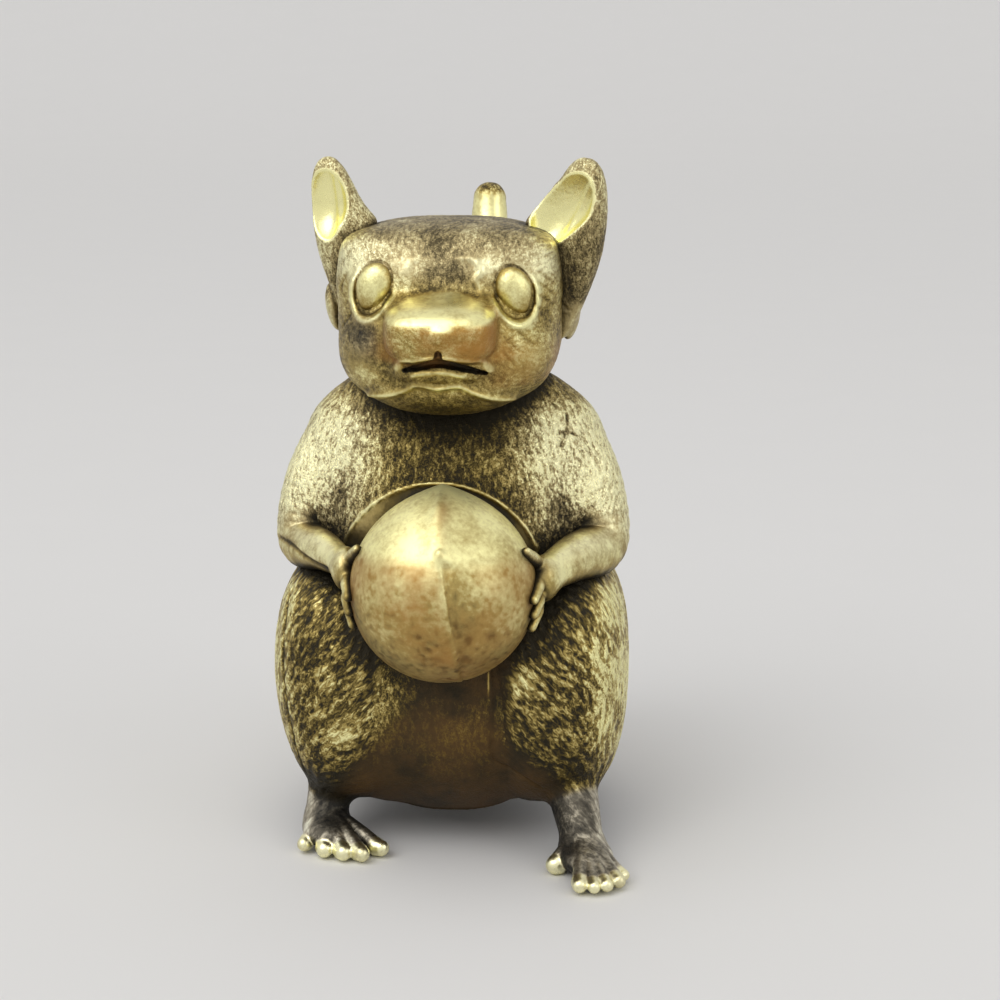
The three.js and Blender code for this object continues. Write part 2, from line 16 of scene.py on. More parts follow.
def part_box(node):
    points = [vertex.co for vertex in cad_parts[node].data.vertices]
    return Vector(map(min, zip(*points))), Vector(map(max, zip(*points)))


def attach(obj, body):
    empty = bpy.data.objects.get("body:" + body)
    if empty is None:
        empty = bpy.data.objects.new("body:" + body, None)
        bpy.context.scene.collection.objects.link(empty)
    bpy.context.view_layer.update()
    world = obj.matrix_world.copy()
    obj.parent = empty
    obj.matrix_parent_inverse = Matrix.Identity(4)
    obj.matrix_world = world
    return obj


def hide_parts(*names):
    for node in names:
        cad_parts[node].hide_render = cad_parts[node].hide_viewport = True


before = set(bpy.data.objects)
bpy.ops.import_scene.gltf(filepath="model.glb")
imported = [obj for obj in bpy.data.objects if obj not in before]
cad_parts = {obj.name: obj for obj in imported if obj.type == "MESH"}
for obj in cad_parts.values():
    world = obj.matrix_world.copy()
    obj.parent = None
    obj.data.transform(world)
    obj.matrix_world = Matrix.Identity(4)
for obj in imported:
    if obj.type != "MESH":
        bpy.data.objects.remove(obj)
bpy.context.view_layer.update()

bl_info = {
    "name": "Brass Mouse Figurine",
    "version": (1, 0, 0),
    "blender": (4, 5, 0),
    "location": "View3D > Sidebar > Mouse",
    "description": "Builds a seated brass mouse that holds a fruit, over its CAD frame",
    "category": "Object",
}

MM = 0.001
SIDES = {"right": -1, "left": 1}
COARSER = 1.0


# Properties

def length(name, description, millimetres):
    return bpy.props.FloatProperty(
        name=name, description=description, default=millimetres * MM, unit="LENGTH", precision=5)


def colour(name, description, rgb):
    return bpy.props.FloatVectorProperty(
        name=name, description=description, default=rgb, size=3, min=0.0, max=1.0, subtype="COLOR")


class MouseBodySizes(bpy.types.PropertyGroup):
    """Sizes of the torso and the limbs."""

    half_width: length("Half width", "Half the torso's width", 12.6)
    half_depth: length("Half depth", "Half the torso's depth", 12.2)
    base: length("Base", "Height of the torso's underside above the table", 2.4)
    height: length("Height", "Height of the torso's egg", 37.6)
    setback: length("Setback", "How far the belly's middle lies behind the neck", 2.0)
    shoulder_drop: length("Shoulder drop", "Shoulder below the torso's top", 7.0)
    elbow_drop: length("Elbow drop", "Elbow below the shoulder", 7.6)
    fruit_drop: length("Fruit drop", "Fruit below the elbow", 1.8)
    fruit_aside: length("Fruit aside", "How far the fruit sits to the mouse's left", 0.25)
    fruit_radius: length("Fruit radius", "Radius of the fruit", 7.3)
    haunch_below: length("Haunch below elbow", "Top of the haunch below the elbow", 1.0)
    haunch_clear: length("Haunch clearance", "Underside of the haunch above the table", 3.0)


class MouseHeadSizes(bpy.types.PropertyGroup):
    """Sizes of the head, the ears and the eyes."""

    rise: length("Rise", "Middle of the skull above the torso's top", 4.4)
    forward: length("Forward", "Middle of the skull ahead of the neck", 1.6)
    eye_apart: length("Eyes apart", "Distance between the eyes", 11.0)
    eye_rise: length("Eye rise", "Eyes above the skull's middle", 2.15)
    ear_lean: bpy.props.FloatProperty(
        name="Ear lean", description="How far the ears lean out", default=math.radians(11), subtype="ANGLE")


class MouseSurface(bpy.types.PropertyGroup):
    """How the surface is chased and meshed."""

    fur_width: length("Fur width", "Width of a fur stroke on the chest", 0.27)
    fur_length: length("Fur length", "Length of a fur stroke on the chest", 0.5)
    fur_depth: length("Fur depth", "Depth of a fur stroke on the chest", 0.07)
    hair_width: length("Hair width", "Width of the finest hairs", 0.18)
    haunch_fur: bpy.props.FloatProperty(
        name="Haunch fur", description="How much coarser the haunches' strokes are", default=1.6, min=1.0)
    facet: length("Facet", "Size of the torso's mesh faces", 0.18)


class MouseFinish(bpy.types.PropertyGroup):
    """Colours of the metal and the stage."""

    # The darkest colour stands for painted shade as well as patina, the brightest for painted highlights as
    # well as wear.
    patina_and_shade: colour("Patina", "Dark metal in the hollows", (0.024, 0.019, 0.009))
    shadow: colour("Shadow", "Brown metal in the strokes", (0.125, 0.092, 0.031))
    brass: colour("Brass", "The metal's own colour", (0.43, 0.325, 0.105))
    bright: colour("Bright", "Rubbed metal on the high places", (0.93, 0.88, 0.44))
    copper: colour("Copper", "Reddish stain on the fruit and muzzle", (0.42, 0.205, 0.048))
    dulling: bpy.props.FloatProperty(
        name="Dulling", description="How grey the ashen places are",
        default=0.6, min=0.0, max=1.0, subtype="FACTOR")
    floor: colour("Floor", "The pale floor", (0.80, 0.79, 0.77))


# Shapes as distance fields. Points are rows of x, y, z in millimetres.

CHAIN_REACH = 3.0  # beyond this from a row's box, the box is near enough


def spot(x, y, z):
    return np.array((x, y, z), dtype=np.float32)


def turned(x=0.0, y=0.0, z=0.0):
    """Rotation whose columns are a turned form's own axes, from angles in degrees."""
    made = Matrix.Rotation(math.radians(z), 3, "Z") @ Matrix.Rotation(math.radians(y), 3, "Y")
    return np.array(made @ Matrix.Rotation(math.radians(x), 3, "X"), dtype=np.float32)


def ball(p, middle, half, turn=None):
    """Distance to an ellipsoid."""
    q = p - middle
    if turn is not None:
        q = q @ turn
    half = np.asarray(half, dtype=np.float32)
    near = np.linalg.norm(q / half, axis=1)
    slope = np.linalg.norm(q / half**2, axis=1)
    return near * (near - 1) / np.maximum(slope, 1e-6)


def loaf(p, middle, half, power, turn=None):
    """Distance to a form between an ellipsoid and a box."""
    q = p - middle
    if turn is not None:
        q = q @ turn
    scaled = np.maximum(np.abs(q / np.asarray(half, dtype=np.float32)), 1e-4)
    near = (scaled**power).sum(axis=1) ** (1 / power)
    return np.linalg.norm(q, axis=1) * (1 - 1 / near)


def rounded(p, middle, half, power, tilt):
    """Distance to an ellipsoid, where the power is 2, or else to a loaf, with a tilt in degrees."""
    turn = turned(x=tilt) if tilt else None
    return ball(p, middle, half, turn) if power == 2 else loaf(p, middle, half, power, turn)


def bone(p, start, end, start_radius, end_radius):
    """Distance to a tapering rod with round ends."""
    along = end - start
    place = np.clip((p - start) @ along / max(float(along @ along), 1e-9), 0, 1)
    off = p - start - place[:, None] * along
    return np.sqrt(np.einsum("ij,ij->i", off, off)) - (start_radius + (end_radius - start_radius) * place)


def chain(p, points, radii):
    """Distance to a row of rods. Far from the whole row it is the distance to the row's box."""
    points = np.asarray(points, dtype=np.float32)
    margin = np.float32(max(radii))
    gap = np.maximum(np.maximum(points.min(axis=0) - margin - p, p - points.max(axis=0) - margin), 0)
    d = np.sqrt(np.einsum("ij,ij->i", gap, gap))
    close = np.flatnonzero(d < CHAIN_REACH)
    q = p[close]
    nearest = np.full(len(q), np.inf, dtype=np.float32)
    for i in range(len(points) - 1):
        nearest = np.minimum(nearest, bone(q, points[i], points[i + 1], radii[i], radii[i + 1]))
    d[close] = nearest
    return d


def both(form, p):
    """Distance to a pair of like forms, one on each side."""
    return np.minimum(form(p, -1), form(p, 1))


def melt(a, b, blend):
    """Joins two forms with a soft fillet."""
    h = np.clip(0.5 + 0.5 * (b - a) / blend, 0, 1)
    return b + (a - b) * h - blend * h * (1 - h)


def carve(a, b, blend):
    """Takes the second form out of the first, with a soft edge."""
    return -melt(-a, b, blend)


def fade(none, full, value):
    """0 at the first value to 1 at the second, which may be the lesser one."""
    t = np.clip((value - none) / (full - none), 0, 1)
    return t * t * (3 - 2 * t)


def within(value, start, full, ease, end):
    """1 from full to ease, fading to 0 at the start and at the end."""
    return fade(start, full, value) * fade(end, ease, value)


def smooth_path(points, radii, count):
    """A smooth curve through the points, as evenly counted points and their radii."""
    points, radii = np.asarray(points, dtype=np.float32), np.asarray(radii, dtype=np.float32)
    rows = np.column_stack((points, radii))
    ends = np.vstack((2 * rows[0] - rows[1], rows, 2 * rows[-1] - rows[-2]))
    made = []
    for t in np.linspace(0, len(points) - 1, count):
        i = min(int(t), len(points) - 2)
        u = t - i
        a, b, c, d = ends[i : i + 4]
        square, cube = 2 * a - 5 * b + 4 * c - d, 3 * b - a - 3 * c + d
        made.append(0.5 * (2 * b + (c - a) * u + square * u**2 + cube * u**3))
    made = np.array(made, dtype=np.float32)
    return made[:, :3], made[:, 3]


def drawn(p, *points, radii=None):
    """Distance to a smooth line in the front view through points of x and z, or to a band with radii."""
    radii = radii or [0] * len(points)
    line, radii = smooth_path([(x, 0, z) for x, z in points], radii, 5 * len(points))
    return chain(p * spot(1, 0, 1), line, radii)


def ridge_of(distance, width):
    """1 on a line, fading to 0 over a width."""
    return np.exp(-((distance / width) ** 2))


def blob(x, z, at, wide, tall):
    """1 at a place in the front view, fading to 0 round it."""
    return ridge_of(np.hypot((x - at[0]) / wide, (z - at[1]) / tall), 1.0)


class Grain:
    """Seeded smooth noise in three dimensions, about -0.7 to 0.7."""

    def __init__(self, seed):
        rng = np.random.default_rng(seed)
        self.order = rng.permutation(256)
        slopes = rng.normal(size=(256, 3))
        self.slopes = (slopes / np.linalg.norm(slopes, axis=1, keepdims=True)).astype(np.float32)

    def __call__(self, p):
        cell = np.floor(p).astype(np.int64)
        f = (p - cell).astype(np.float32)
        ease = f * f * f * (f * (f * 6 - 15) + 10)
        total = np.zeros(len(p), dtype=np.float32)
        for corner in np.ndindex(2, 2, 2):
            c = cell + corner
            pick = self.order[(self.order[(self.order[c[:, 0] & 255] + c[:, 1]) & 255] + c[:, 2]) & 255]
            weight = np.prod(np.where(corner, ease, 1 - ease), axis=1)
            away = f - np.array(corner, dtype=np.float32)
            total += weight * np.einsum("ij,ij->i", away, self.slopes[pick])
        return total


FUR_GRAIN = Grain(7)
LUMP_GRAIN = Grain(21)
STROKE_STEPS = 9
STROKE_SPREAD = 0.16  # usual height of the noise once it is drawn out


def strokes(p, way, width, reach):
    """Noise that is drawn out along a direction, from 0 in a groove to 1 on a ridge."""
    total = np.zeros(len(p), dtype=np.float32)
    for s in np.linspace(-0.5, 0.5, STROKE_STEPS):
        total += FUR_GRAIN((p + way * (s * reach)) / width)
    total *= 1 / (STROKE_SPREAD * STROKE_STEPS)
    return fade(-1.0, 1.0, total)


# Skins: a mesh from a field

BLOCKS_AT_ONCE = 600


def sampled(field, low, step, counts, block=8):
    """The field's values on a lattice. Only blocks near the surface are worked out in full."""
    blocks = [math.ceil(n / block) for n in counts]
    corner = np.stack(np.meshgrid(*[np.arange(n) for n in blocks], indexing="ij"), axis=-1)
    middles = low + (corner.reshape(-1, 3) + 0.5 - 0.5 / block) * block * step
    rough = field(middles.astype(np.float32))
    near = np.abs(rough) < 1.5 * block * step
    signs = np.where(rough < 0, -1.0, 1.0).astype(np.float32)
    values = np.empty((*blocks, block, block, block), dtype=np.float32)
    values[:] = signs.reshape(*blocks, 1, 1, 1)
    flat = values.reshape(-1, block**3)
    inner = np.stack(np.meshgrid(*[np.arange(block)] * 3, indexing="ij"), axis=-1).reshape(-1, 3)
    wanted = np.flatnonzero(near)
    for some in np.array_split(wanted, max(1, len(wanted) // BLOCKS_AT_ONCE)):
        at = corner.reshape(-1, 3)[some][:, None, :] * block + inner
        points = (low + at.reshape(-1, 3) * step).astype(np.float32)
        flat[some] = field(points).reshape(len(some), -1)
    return values.transpose(0, 3, 1, 4, 2, 5).reshape([n * block for n in blocks])


def net(values):
    """Surface nets: one vertex in each cell that the surface passes, one quad across each crossed edge."""
    inside = values < 0
    size = np.array(values.shape) - 1
    count = np.zeros(size, dtype=np.uint8)
    for c in np.ndindex(2, 2, 2):
        count += inside[c[0] : c[0] + size[0], c[1] : c[1] + size[1], c[2] : c[2] + size[2]]
    active = (count > 0) & (count < 8)
    cells = np.argwhere(active)
    number = np.full(size, -1, dtype=np.int32)
    number[active] = np.arange(len(cells))
    total, hits = np.zeros((len(cells), 3)), np.zeros(len(cells))
    for axis in range(3):
        for c in np.ndindex(2, 2):
            start = np.insert(np.array(c), axis, 0)
            end = np.insert(np.array(c), axis, 1)
            a, b = values[tuple((cells + start).T)], values[tuple((cells + end).T)]
            crossed = (a < 0) != (b < 0)
            place = np.where(crossed, a / np.where(crossed, a - b, 1), 0)
            total += np.where(crossed[:, None], start + place[:, None] * (end - start), 0)
            hits += crossed
    quads = []
    for axis in range(3):
        one, two = np.eye(3, dtype=int)[(axis + 1) % 3], np.eye(3, dtype=int)[(axis + 2) % 3]
        low = np.take(inside, np.arange(size[axis]), axis=axis)
        high = np.take(inside, np.arange(1, size[axis] + 1), axis=axis)
        edges = np.argwhere(low != high)
        for way in (one, two):
            edges = edges[(edges @ way > 0) & (edges @ way < size @ way)]
        ring = [number[tuple((edges - shift).T)] for shift in (one + two, two, 0 * one, one)]
        ring = np.stack(ring, axis=1)
        outward = low[tuple(edges.T)]
        quads.append(np.where(outward[:, None], ring, ring[:, ::-1]))
    return cells + total / hits[:, None], np.vstack(quads)


TAPS = np.array(((1, -1, -1), (-1, -1, 1), (-1, 1, -1), (1, 1, 1)), dtype=np.float32)


def normals_of(field, p, reach=0.03):
    n = sum(tap * field(p + tap * reach)[:, None] for tap in TAPS)
    return n / np.maximum(np.linalg.norm(n, axis=1, keepdims=True), 1e-9)


def skin(field, low, high, step):
    """Points, outward normals and quads of a field's surface inside a box."""
    step *= COARSER
    low, high = np.asarray(low, dtype=np.float32), np.asarray(high, dtype=np.float32)
    counts = np.ceil((high - low) / step).astype(int) + 2
    cells, quads = net(sampled(field, low, step, counts))
    points = (low + cells * step).astype(np.float32)
    for _ in range(2):
        points -= np.clip(field(points), -step / 2, step / 2)[:, None] * normals_of(field, points)
    return points, normals_of(field, points), quads


# Measures of the figure, in millimetres. A line is a row of x and z in the front view.

# Size of the mesh faces on each kind of piece. The torso's is a property.
FACETS = {"head": 0.15, "ear": 0.13, "eye": 0.1, "arm": 0.14, "leg": 0.16, "tail": 0.18, "fruit": 0.18}
FAR_AWAY = 9.0  # added to a line's distance where the line isn't drawn

TORSO_BOX = ((-17, -15, 0.5), (17, 17, 42))
EGG_WIDEST, EGG_DEEPEST, EGG_POWER = 0.95, 0.62, 3.4
BELLY_HALF, BELLY_POWER, BELLY_FORWARD, BELLY_FILLET = (9.6, 10.4, 9.3), 2.4, 1.7, 2.0
SHOULDER_POINTS, SHOULDER_INSET, SHOULDER_FILLET = 7, 0.3, 2.4
BELLY_SEAM = ((3.2, 17.8), (3.75, 16.4), (3.9, 13.9), (3.9, 10.5), (4.1, 8.7), (5.8, 7.7), (7.8, 6.2))
SEAM_WIDTH, BRIGHT_SEAM_ASIDE = 0.1, -0.22
SEAM_BRIGHT_ABOVE = (13, 15)
SHOULDER_SCRATCHES = {
    ((9.5, 35.7), (9.6, 34.6), (9.1, 33.3)): 0.12,
    ((8.7, 34.3), (9.6, 34.4), (10.4, 34.0)): 0.1,
}

# The raised rim on the chest behind the fruit: its middle, aside and above the fruit's height, and
# its section.
RIM_AT, RIM_RADIUS, RIM_WIDTH, RIM_HEIGHT = (-0.6, -1.2), 8.45, 0.14, 0.26

# Darker patches inside the elbows: place, aside and above the fruit's height, and half sizes.
DARK_ELBOW_PATCHES = (((-8.9, 5.6), 0.8, 1.5), ((9.2, 5.0), 0.9, 1.5))

# The arms: low corner and size of the box that each is skinned in, radii from shoulder to paw, how
# much slimmer each is and where along it, and the palm.
ARM_LOW, ARM_BOX = {-1: (-18, -19, 17), 1: (4, -19, 17)}, (14, 26, 22)
ARM_RADII, ARM_STEPS = (3.6, 3.1, 2.4, 1.85, 1.35), 21
ARM_SLIM, ARM_SLIMMING = {-1: 0.3, 1: 0.0}, (0, 0, 0.5, 1, 1)
PALM_HALF, PALM_FILLET = (1.1, 1.8, 1.7), 0.8
ELBOW_CREASE = ((-14.2, 25.4), (-12.9, 25.3), (-11.8, 24.9), (-10.5, 24.6), (-9.3, 24.5))

# Thumb and fingers: turn and rise in degrees round the fruit, at the root, knuckle and tip.
FINGERS = (
    ((-6, 16), (5, 22), (13, 27)),
    ((-8, 8), (8, 4), (18, -1)),
    ((-12, 2), (6, -5), (15, -11)),
    ((-16, -3), (2, -12), (11, -20)),
)
FINGER_RADII, FINGER_LIFT, FINGER_FILLET = (0.6, 0.5, 0.4), 0.25, 0.25

# The hind legs: low corner and size of the box that each is skinned in, the haunch and how it swells
# the torso, the ankle's place from the haunch's middle, and the shank, instep and toes.
LEG_LOW, LEG_BOX = {-1: (-17, -20, -0.4), 1: (0.5, -20, -0.4)}, (16.5, 31, 24)
HAUNCH_HALF_WIDTH, HAUNCH_HALF_DEPTH, HAUNCH_POWER = 6.65, 10.8, 2.75
HAUNCH_TAPER, HAUNCH_INNER = {-1: 0.1, 1: 0.03}, 4.0
HAUNCH_INSET, HAUNCH_FILLETS = (0.6, 0.3, 0.4), {-1: 2.6, 1: 1.6}
ANKLES, ANKLE_HEIGHT = {-1: (-2.2, -5.7), 1: (3, -10)}, 1.4
SHANK_RADII, SHANK_FILLET = (2.3, 1.7), 1.0
INSTEP_HALF, INSTEP_AHEAD, FOOT_TURNS = (2.2, 3.0, 1.3), 1.5, {-1: 20.0, 1: 14.0}
TOE_FILLET, CLAW_FILLET = 0.14, 0.15
HAUNCH_LINE = ((-13.1, 21.4), (-13.3, 17.8), (-13.1, 13.6), (-12.4, 9.3), (-11.5, 5.6))

# Painted highlights on each haunch, on places with a little wear too, in the front view.
GLINTS = {-1: ((-4.4, 15.7), (-8.1, 10.9)), 1: ((5.9, 15.6), (10.3, 6.8))}
GLINT_RADIUS = 1.4

# How far each toe's tip lies from the ankle, and the toe's radius. The mouse's left foot has its
# thumb set apart.
TOE_TIPS = {
    -1: ((-1.2, -3.1, 0.62), (0.5, -4.0, 0.74), (2.0, -4.5, 0.74), (3.4, -4.7, 0.7), (4.7, -3.5, 0.72)),
    1: ((-1.9, -1.9, 0.82), (0.0, -5.6, 0.64), (1.05, -5.8, 0.55), (1.95, -5.4, 0.58), (2.8, -4.6, 0.6),
        (3.15, -3.5, 0.5)),
}

TAIL_BOX = ((-4, 4, -0.4), (6, 26, 56))
TAIL_RADII = (2.3, 2.3, 2.3, 2.3, 2.28, 2.2, 2.15, 2.15, 2.2, 1.45)
TAIL_BEND, TAIL_REST, TAIL_STEPS = 4.35, 1.9, 60
TAIL_RING, TAIL_RING_DEPTH = 1.2, 0.12

# Pits in the fruit's front: place from its middle in the front view, and radius.
FRUIT_PITS = {(-0.7, -3.0): 0.28, (-1.2, -2.0): 0.22, (2.5, -2.2): 0.3, (4.1, -2.2): 0.35, (2.2, -4.1): 0.4}
FRUIT_REACH, FRUIT_AHEAD, FRUIT_HALF_DEPTH = (9.5, 9.5, 10), 3.9, 7.2
KNOB_AT, KNOB_HALF, KNOB_FILLET = (0.3, -6.1, 4.2), (0.32, 0.3, 0.45), 0.3
FRUIT_TIP, FRUIT_TIP_ANGLE = 1.15, math.radians(20)

HEAD_BOX = ((-11, -18, 34), (11, 9, 54))
SKULL_HALF, SKULL_POWER = (9.1, 8.4, 7.2), 3.2

# Rounded forms that the head is melted from: place aside, forward and down from the skull's middle,
# half sizes, power, tilt in degrees, and the fillet where it joins.
SKULL_FORMS = {
    "crown": ((0, 1.2, -3.4), (8.8, 5.4, 3.3), 4.2, 0, 1.0),
    "jaw": ((0, 3.4, 2.9), (7.8, 8.0, 4.7), 2.6, 0, 1.5),
    "chin": ((0, 7.2, 5.1), (5.7, 4.7, 2.5), 2, 0, 1.4),
}
SNOUT_FORMS = {
    "mouth": ((0, 9.3, 3.4), (4.1, 3.7, 1.6), 2.6, 0, 0.5),
    "muzzle": ((0, 9.2, 0.4), (4.4, 4.9, 2.2), 3.6, 11, 0.6),
}
BRIDGE_ENDS, BRIDGE_RADIUS, BRIDGE_FILLET = ((0, 9.6, -0.2), (0, 7.6, -1.2)), 1.4, 1.2
CHEEK_AT, CHEEK_HALF, CHEEK_FILLET = (5.6, 5.6, 3.0), (2.6, 3.3, 2.7), 1.4
NOSE_AT, NOSE_HALF, NOSE_FILLET = (0.4, 13.9, 0.7), (1.0, 0.5, 0.65), 0.3

# The eyes, and the rings round them: half width and half height, mean radius, and the ring's width.
EYE_HALF, EYE_TILT, EYE_TURN, EYE_SUNK = (1.45, 1.0, 1.98), 19, 12, 0.2
EYELID, EYE_GROOVE = ((1.86, 2.48), 2.1, 0.36), ((1.48, 2.04), 1.8, 0.1)
BROW_CURL = ((1.0, 49.0), (2.2, 49.0), (2.9, 48.2), (2.6, 47.2), (3.2, 46.2))
UPPER_LIP = ((-3.15, 41.1), (-2.75, 41.6), (-1.7, 41.72), (-0.5, 41.95), (0.65, 41.95), (2.05, 41.73),
             (3.4, 41.5), (3.9, 40.9))
UPPER_LIP_RADII = (0.2, 0.08, 0.03, 0.03, 0.03, 0.03, 0.08, 0.2)
LOWER_LIP = ((-2.0, 40.5), (-1.0, 40.72), (0.1, 40.8), (1.0, 40.72), (1.9, 40.45))
MOUTH_SLIT = ((-2.6, 40.9), (-1.25, 41.27), (0.1, 41.6), (1.65, 41.24), (3.6, 40.6))
MOUTH_RADII = (0.04, 0.16, 0.28, 0.18, 0.04)
LIP_CLEFT, CLEFT_RADII = ((0.1, 41.7), (0.1, 42.35)), (0.26, 0.16)
CHIN_EDGE = ((-5.9, 38.3), (-3.7, 38.75), (-1.8, 39.6), (-0.15, 39.4), (1.6, 39.55), (2.75, 39.0),
             (4.15, 38.4), (5.5, 38.15))

# Short strokes engraved beside and below the eyes, from one end to the other.
CHEEK_STROKES = (
    ((7.5, 47.9), (8.6, 46.9)), ((7.45, 47.1), (8.6, 46.0)), ((7.3, 46.3), (8.5, 45.2)),
    ((7.0, 45.5), (8.2, 44.5)), ((5.0, 43.2), (6.1, 42.0)), ((6.0, 43.5), (7.1, 42.5)),
    ((4.9, 42.0), (5.7, 41.0)), ((-7.6, 49.4), (-8.4, 48.2)), ((-7.9, 47.6), (-8.5, 46.2)),
    ((-7.4, 44.6), (-8.2, 43.4)),
)
CHEEK_STROKE_WIDTH = 0.1


class EarShape(NamedTuple):
    """What differs between the ears, in millimetres, degrees and ratios."""

    aside: float
    turn: float
    narrow: float
    off: float
    cup_half: tuple
    cup_aside: float
    cup_rise: float
    cup_lean: float
    fold_aside: float
    fold_lean: float
    lobe_drop: float
    cup_polish: float


EARS = {
    -1: EarShape(
        aside=-8.75, turn=-6, narrow=1.2, off=0.05,
        cup_half=(2.1, 2.0, 3.0), cup_aside=0.65, cup_rise=3.9, cup_lean=0.1,
        fold_aside=0.35, fold_lean=0.1, lobe_drop=0.2, cup_polish=0.4),
    1: EarShape(
        aside=9.75, turn=-24, narrow=1.0, off=0.0,
        cup_half=(2.5, 1.45, 3.5), cup_aside=0.85, cup_rise=3.3, cup_lean=0.3,
        fold_aside=0.3, fold_lean=0.33, lobe_drop=0.8, cup_polish=0.6),
}
EAR_HALF, EAR_POWER = (2.6, 1.6, 7.5), 2.3
EAR_BELOW, EAR_ABOVE = (5, 4, 9), (5, 4, 8.5)
LOBE_HALF, LOBE_LEAN = (0.7, 1.3, 2.0), 10


# The figure: where everything is, and its forms

class Figure:
    """Places and fields of the mouse, in millimetres, in the CAD model's own design frame."""

    def __init__(self, body, head):
        self.half_width, self.half_depth = body.half_width / MM, body.half_depth / MM
        self.base, self.height, self.setback = body.base / MM, body.height / MM, body.setback / MM
        self.top = self.base + self.height
        self.shoulder_z = self.top - body.shoulder_drop / MM
        self.elbow_z = self.shoulder_z - body.elbow_drop / MM
        self.fruit_r = body.fruit_radius / MM
        fruit_z = self.elbow_z - body.fruit_drop / MM
        self.fruit_at = spot(body.fruit_aside / MM, self.front(fruit_z) - FRUIT_AHEAD, fruit_z)
        haunch_low, haunch_top = body.haunch_clear / MM, self.elbow_z - body.haunch_below / MM
        self.haunch_z = (haunch_low + haunch_top) / 2
        self.haunch_half = spot(HAUNCH_HALF_WIDTH, HAUNCH_HALF_DEPTH, (haunch_top - haunch_low) / 2)
        self.skull_at = spot(0, -head.forward / MM, self.top + head.rise / MM)
        self.eye_apart, self.eye_rise = head.eye_apart / MM, head.eye_rise / MM
        self.ear_lean = math.degrees(head.ear_lean)
        self.arm_paths = {side: self.arm_path(side) for side in SIDES.values()}
        self.tail_path = self.tail_curve()

    # Torso

    def section(self, z):
        """Half width, half depth and middle of the torso at a height."""
        t = np.clip((z - self.base) / self.height, 1e-3, 1 - 1e-3)
        wide = (1 - np.abs(2 * t**EGG_WIDEST - 1) ** EGG_POWER) ** (1 / EGG_POWER)
        deep = np.sqrt(1 - (2 * t**EGG_DEEPEST - 1) ** 2)
        return self.half_width * wide, self.half_depth * deep, self.setback * (1 - t**2)

    def front(self, z):
        _, deep, middle = self.section(np.float64(z))
        return float(middle - deep)

    def back(self, z):
        _, deep, middle = self.section(np.float64(z))
        return float(middle + deep)

    def egg(self, p):
        """Distance to the torso's egg, which ends flat above and below."""
        def ring(z):
            wide, deep, middle = self.section(z)
            x, y = p[:, 0], p[:, 1] - middle
            out = np.maximum(np.hypot(x, y), 1e-4)
            return out, out / np.hypot(x / wide, y / deep)

        out, edge = ring(p[:, 2])
        slope = (ring(p[:, 2] + 0.2)[1] - ring(p[:, 2] - 0.2)[1]) / 0.4
        d = (out - edge) / np.sqrt(1 + slope**2)
        return np.maximum(d, np.maximum(self.base - p[:, 2], p[:, 2] - self.top))

    def torso(self, p):
        """Distance to the egg with its belly, and with the shoulders and haunches that swell it."""
        belly_at = spot(0, -BELLY_FORWARD, self.base + BELLY_HALF[2])
        d = melt(self.egg(p), loaf(p, belly_at, BELLY_HALF, BELLY_POWER), BELLY_FILLET)
        for side in SIDES.values():
            points, radii = self.arm_paths[side]
            shoulder, thick = points[:SHOULDER_POINTS], radii[:SHOULDER_POINTS] - SHOULDER_INSET
            d = melt(d, chain(p, shoulder, thick), SHOULDER_FILLET)
            d = melt(d, self.haunch(p, side, spot(*HAUNCH_INSET)), HAUNCH_FILLETS[side])
        return d

    def seam(self, p, aside=0.0):
        """Distance to the line where the left haunch meets the belly, or to a line beside it."""
        return drawn(p, *[(x + aside, z + aside * 0.3) for x, z in BELLY_SEAM]) + FAR_AWAY * (p[:, 1] > 0)

    def bright_seam(self, p):
        """1 on the bright edge beside the belly's seam, fading out further down."""
        line = ridge_of(self.seam(p, BRIGHT_SEAM_ASIDE), SEAM_WIDTH)
        return line * fade(*SEAM_BRIGHT_ABOVE, p[:, 2])

    def shaded_belly(self, p):
        """1 on the smooth belly under the fruit, where shade is painted brown, fading out over the haunches.
        """
        x, y, z = p.T
        across = (x + 2.4) * 0.854 - (z - 16.3) * 0.521
        limit = 4.6 + 4.4 * fade(11, 6, z)
        aside = fade(-0.8, 1.9, across) * fade(limit + 1.6, limit - 0.6, x)
        return aside * fade(20, 17.5, z) * fade(0, -4, y)

    def pale_arm(self, p):
        """1 on the paler shoulders and upper arms, fading out over the chest and the back."""
        x, y, z = p.T
        return fade(3.6, 9.4, np.abs(x) + 0.12 * (z - 30)) * within(z, 23.5, 27, 34.5, 39) * fade(6, 1, y)

    def dark_elbow_patch(self, p):
        """1 in the darker patches inside the elbows, fading to 0 round them."""
        x, y, z = (p - self.fruit_at * spot(0, 0, 1)).T
        right, left = (blob(x, z, at, wide, tall) for at, wide, tall in DARK_ELBOW_PATCHES)
        return np.maximum(right, left) * within(y, -10, -8, -2, 1)

    # Arms

    def shoulder_at(self, side):
        wide, _, _ = self.section(np.float64(self.shoulder_z))
        return spot(side * (wide - 2.7), 0.4, self.shoulder_z)

    def arm_path(self, side):
        """The arm's curve from shoulder to paw, and its radii."""
        shoulder = self.shoulder_at(side)
        wide, _, _ = self.section(np.float64(self.elbow_z))
        elbow = spot(side * (wide - 0.35), -3.6, self.elbow_z - 0.3)
        paw = self.fruit_at + spot(side * (self.fruit_r + 0.55), 1.7, 1.1 - 0.3 * side)
        upper = (shoulder + elbow) / 2 + spot(side * 0.6, 0, 0)
        forearm = elbow * 0.45 + paw * 0.55 + spot(side * 0.2, 0, 0.1)
        radii = np.subtract(ARM_RADII, np.multiply(ARM_SLIMMING, ARM_SLIM[side]))
        return smooth_path((shoulder, upper, elbow, forearm, paw), radii, ARM_STEPS)

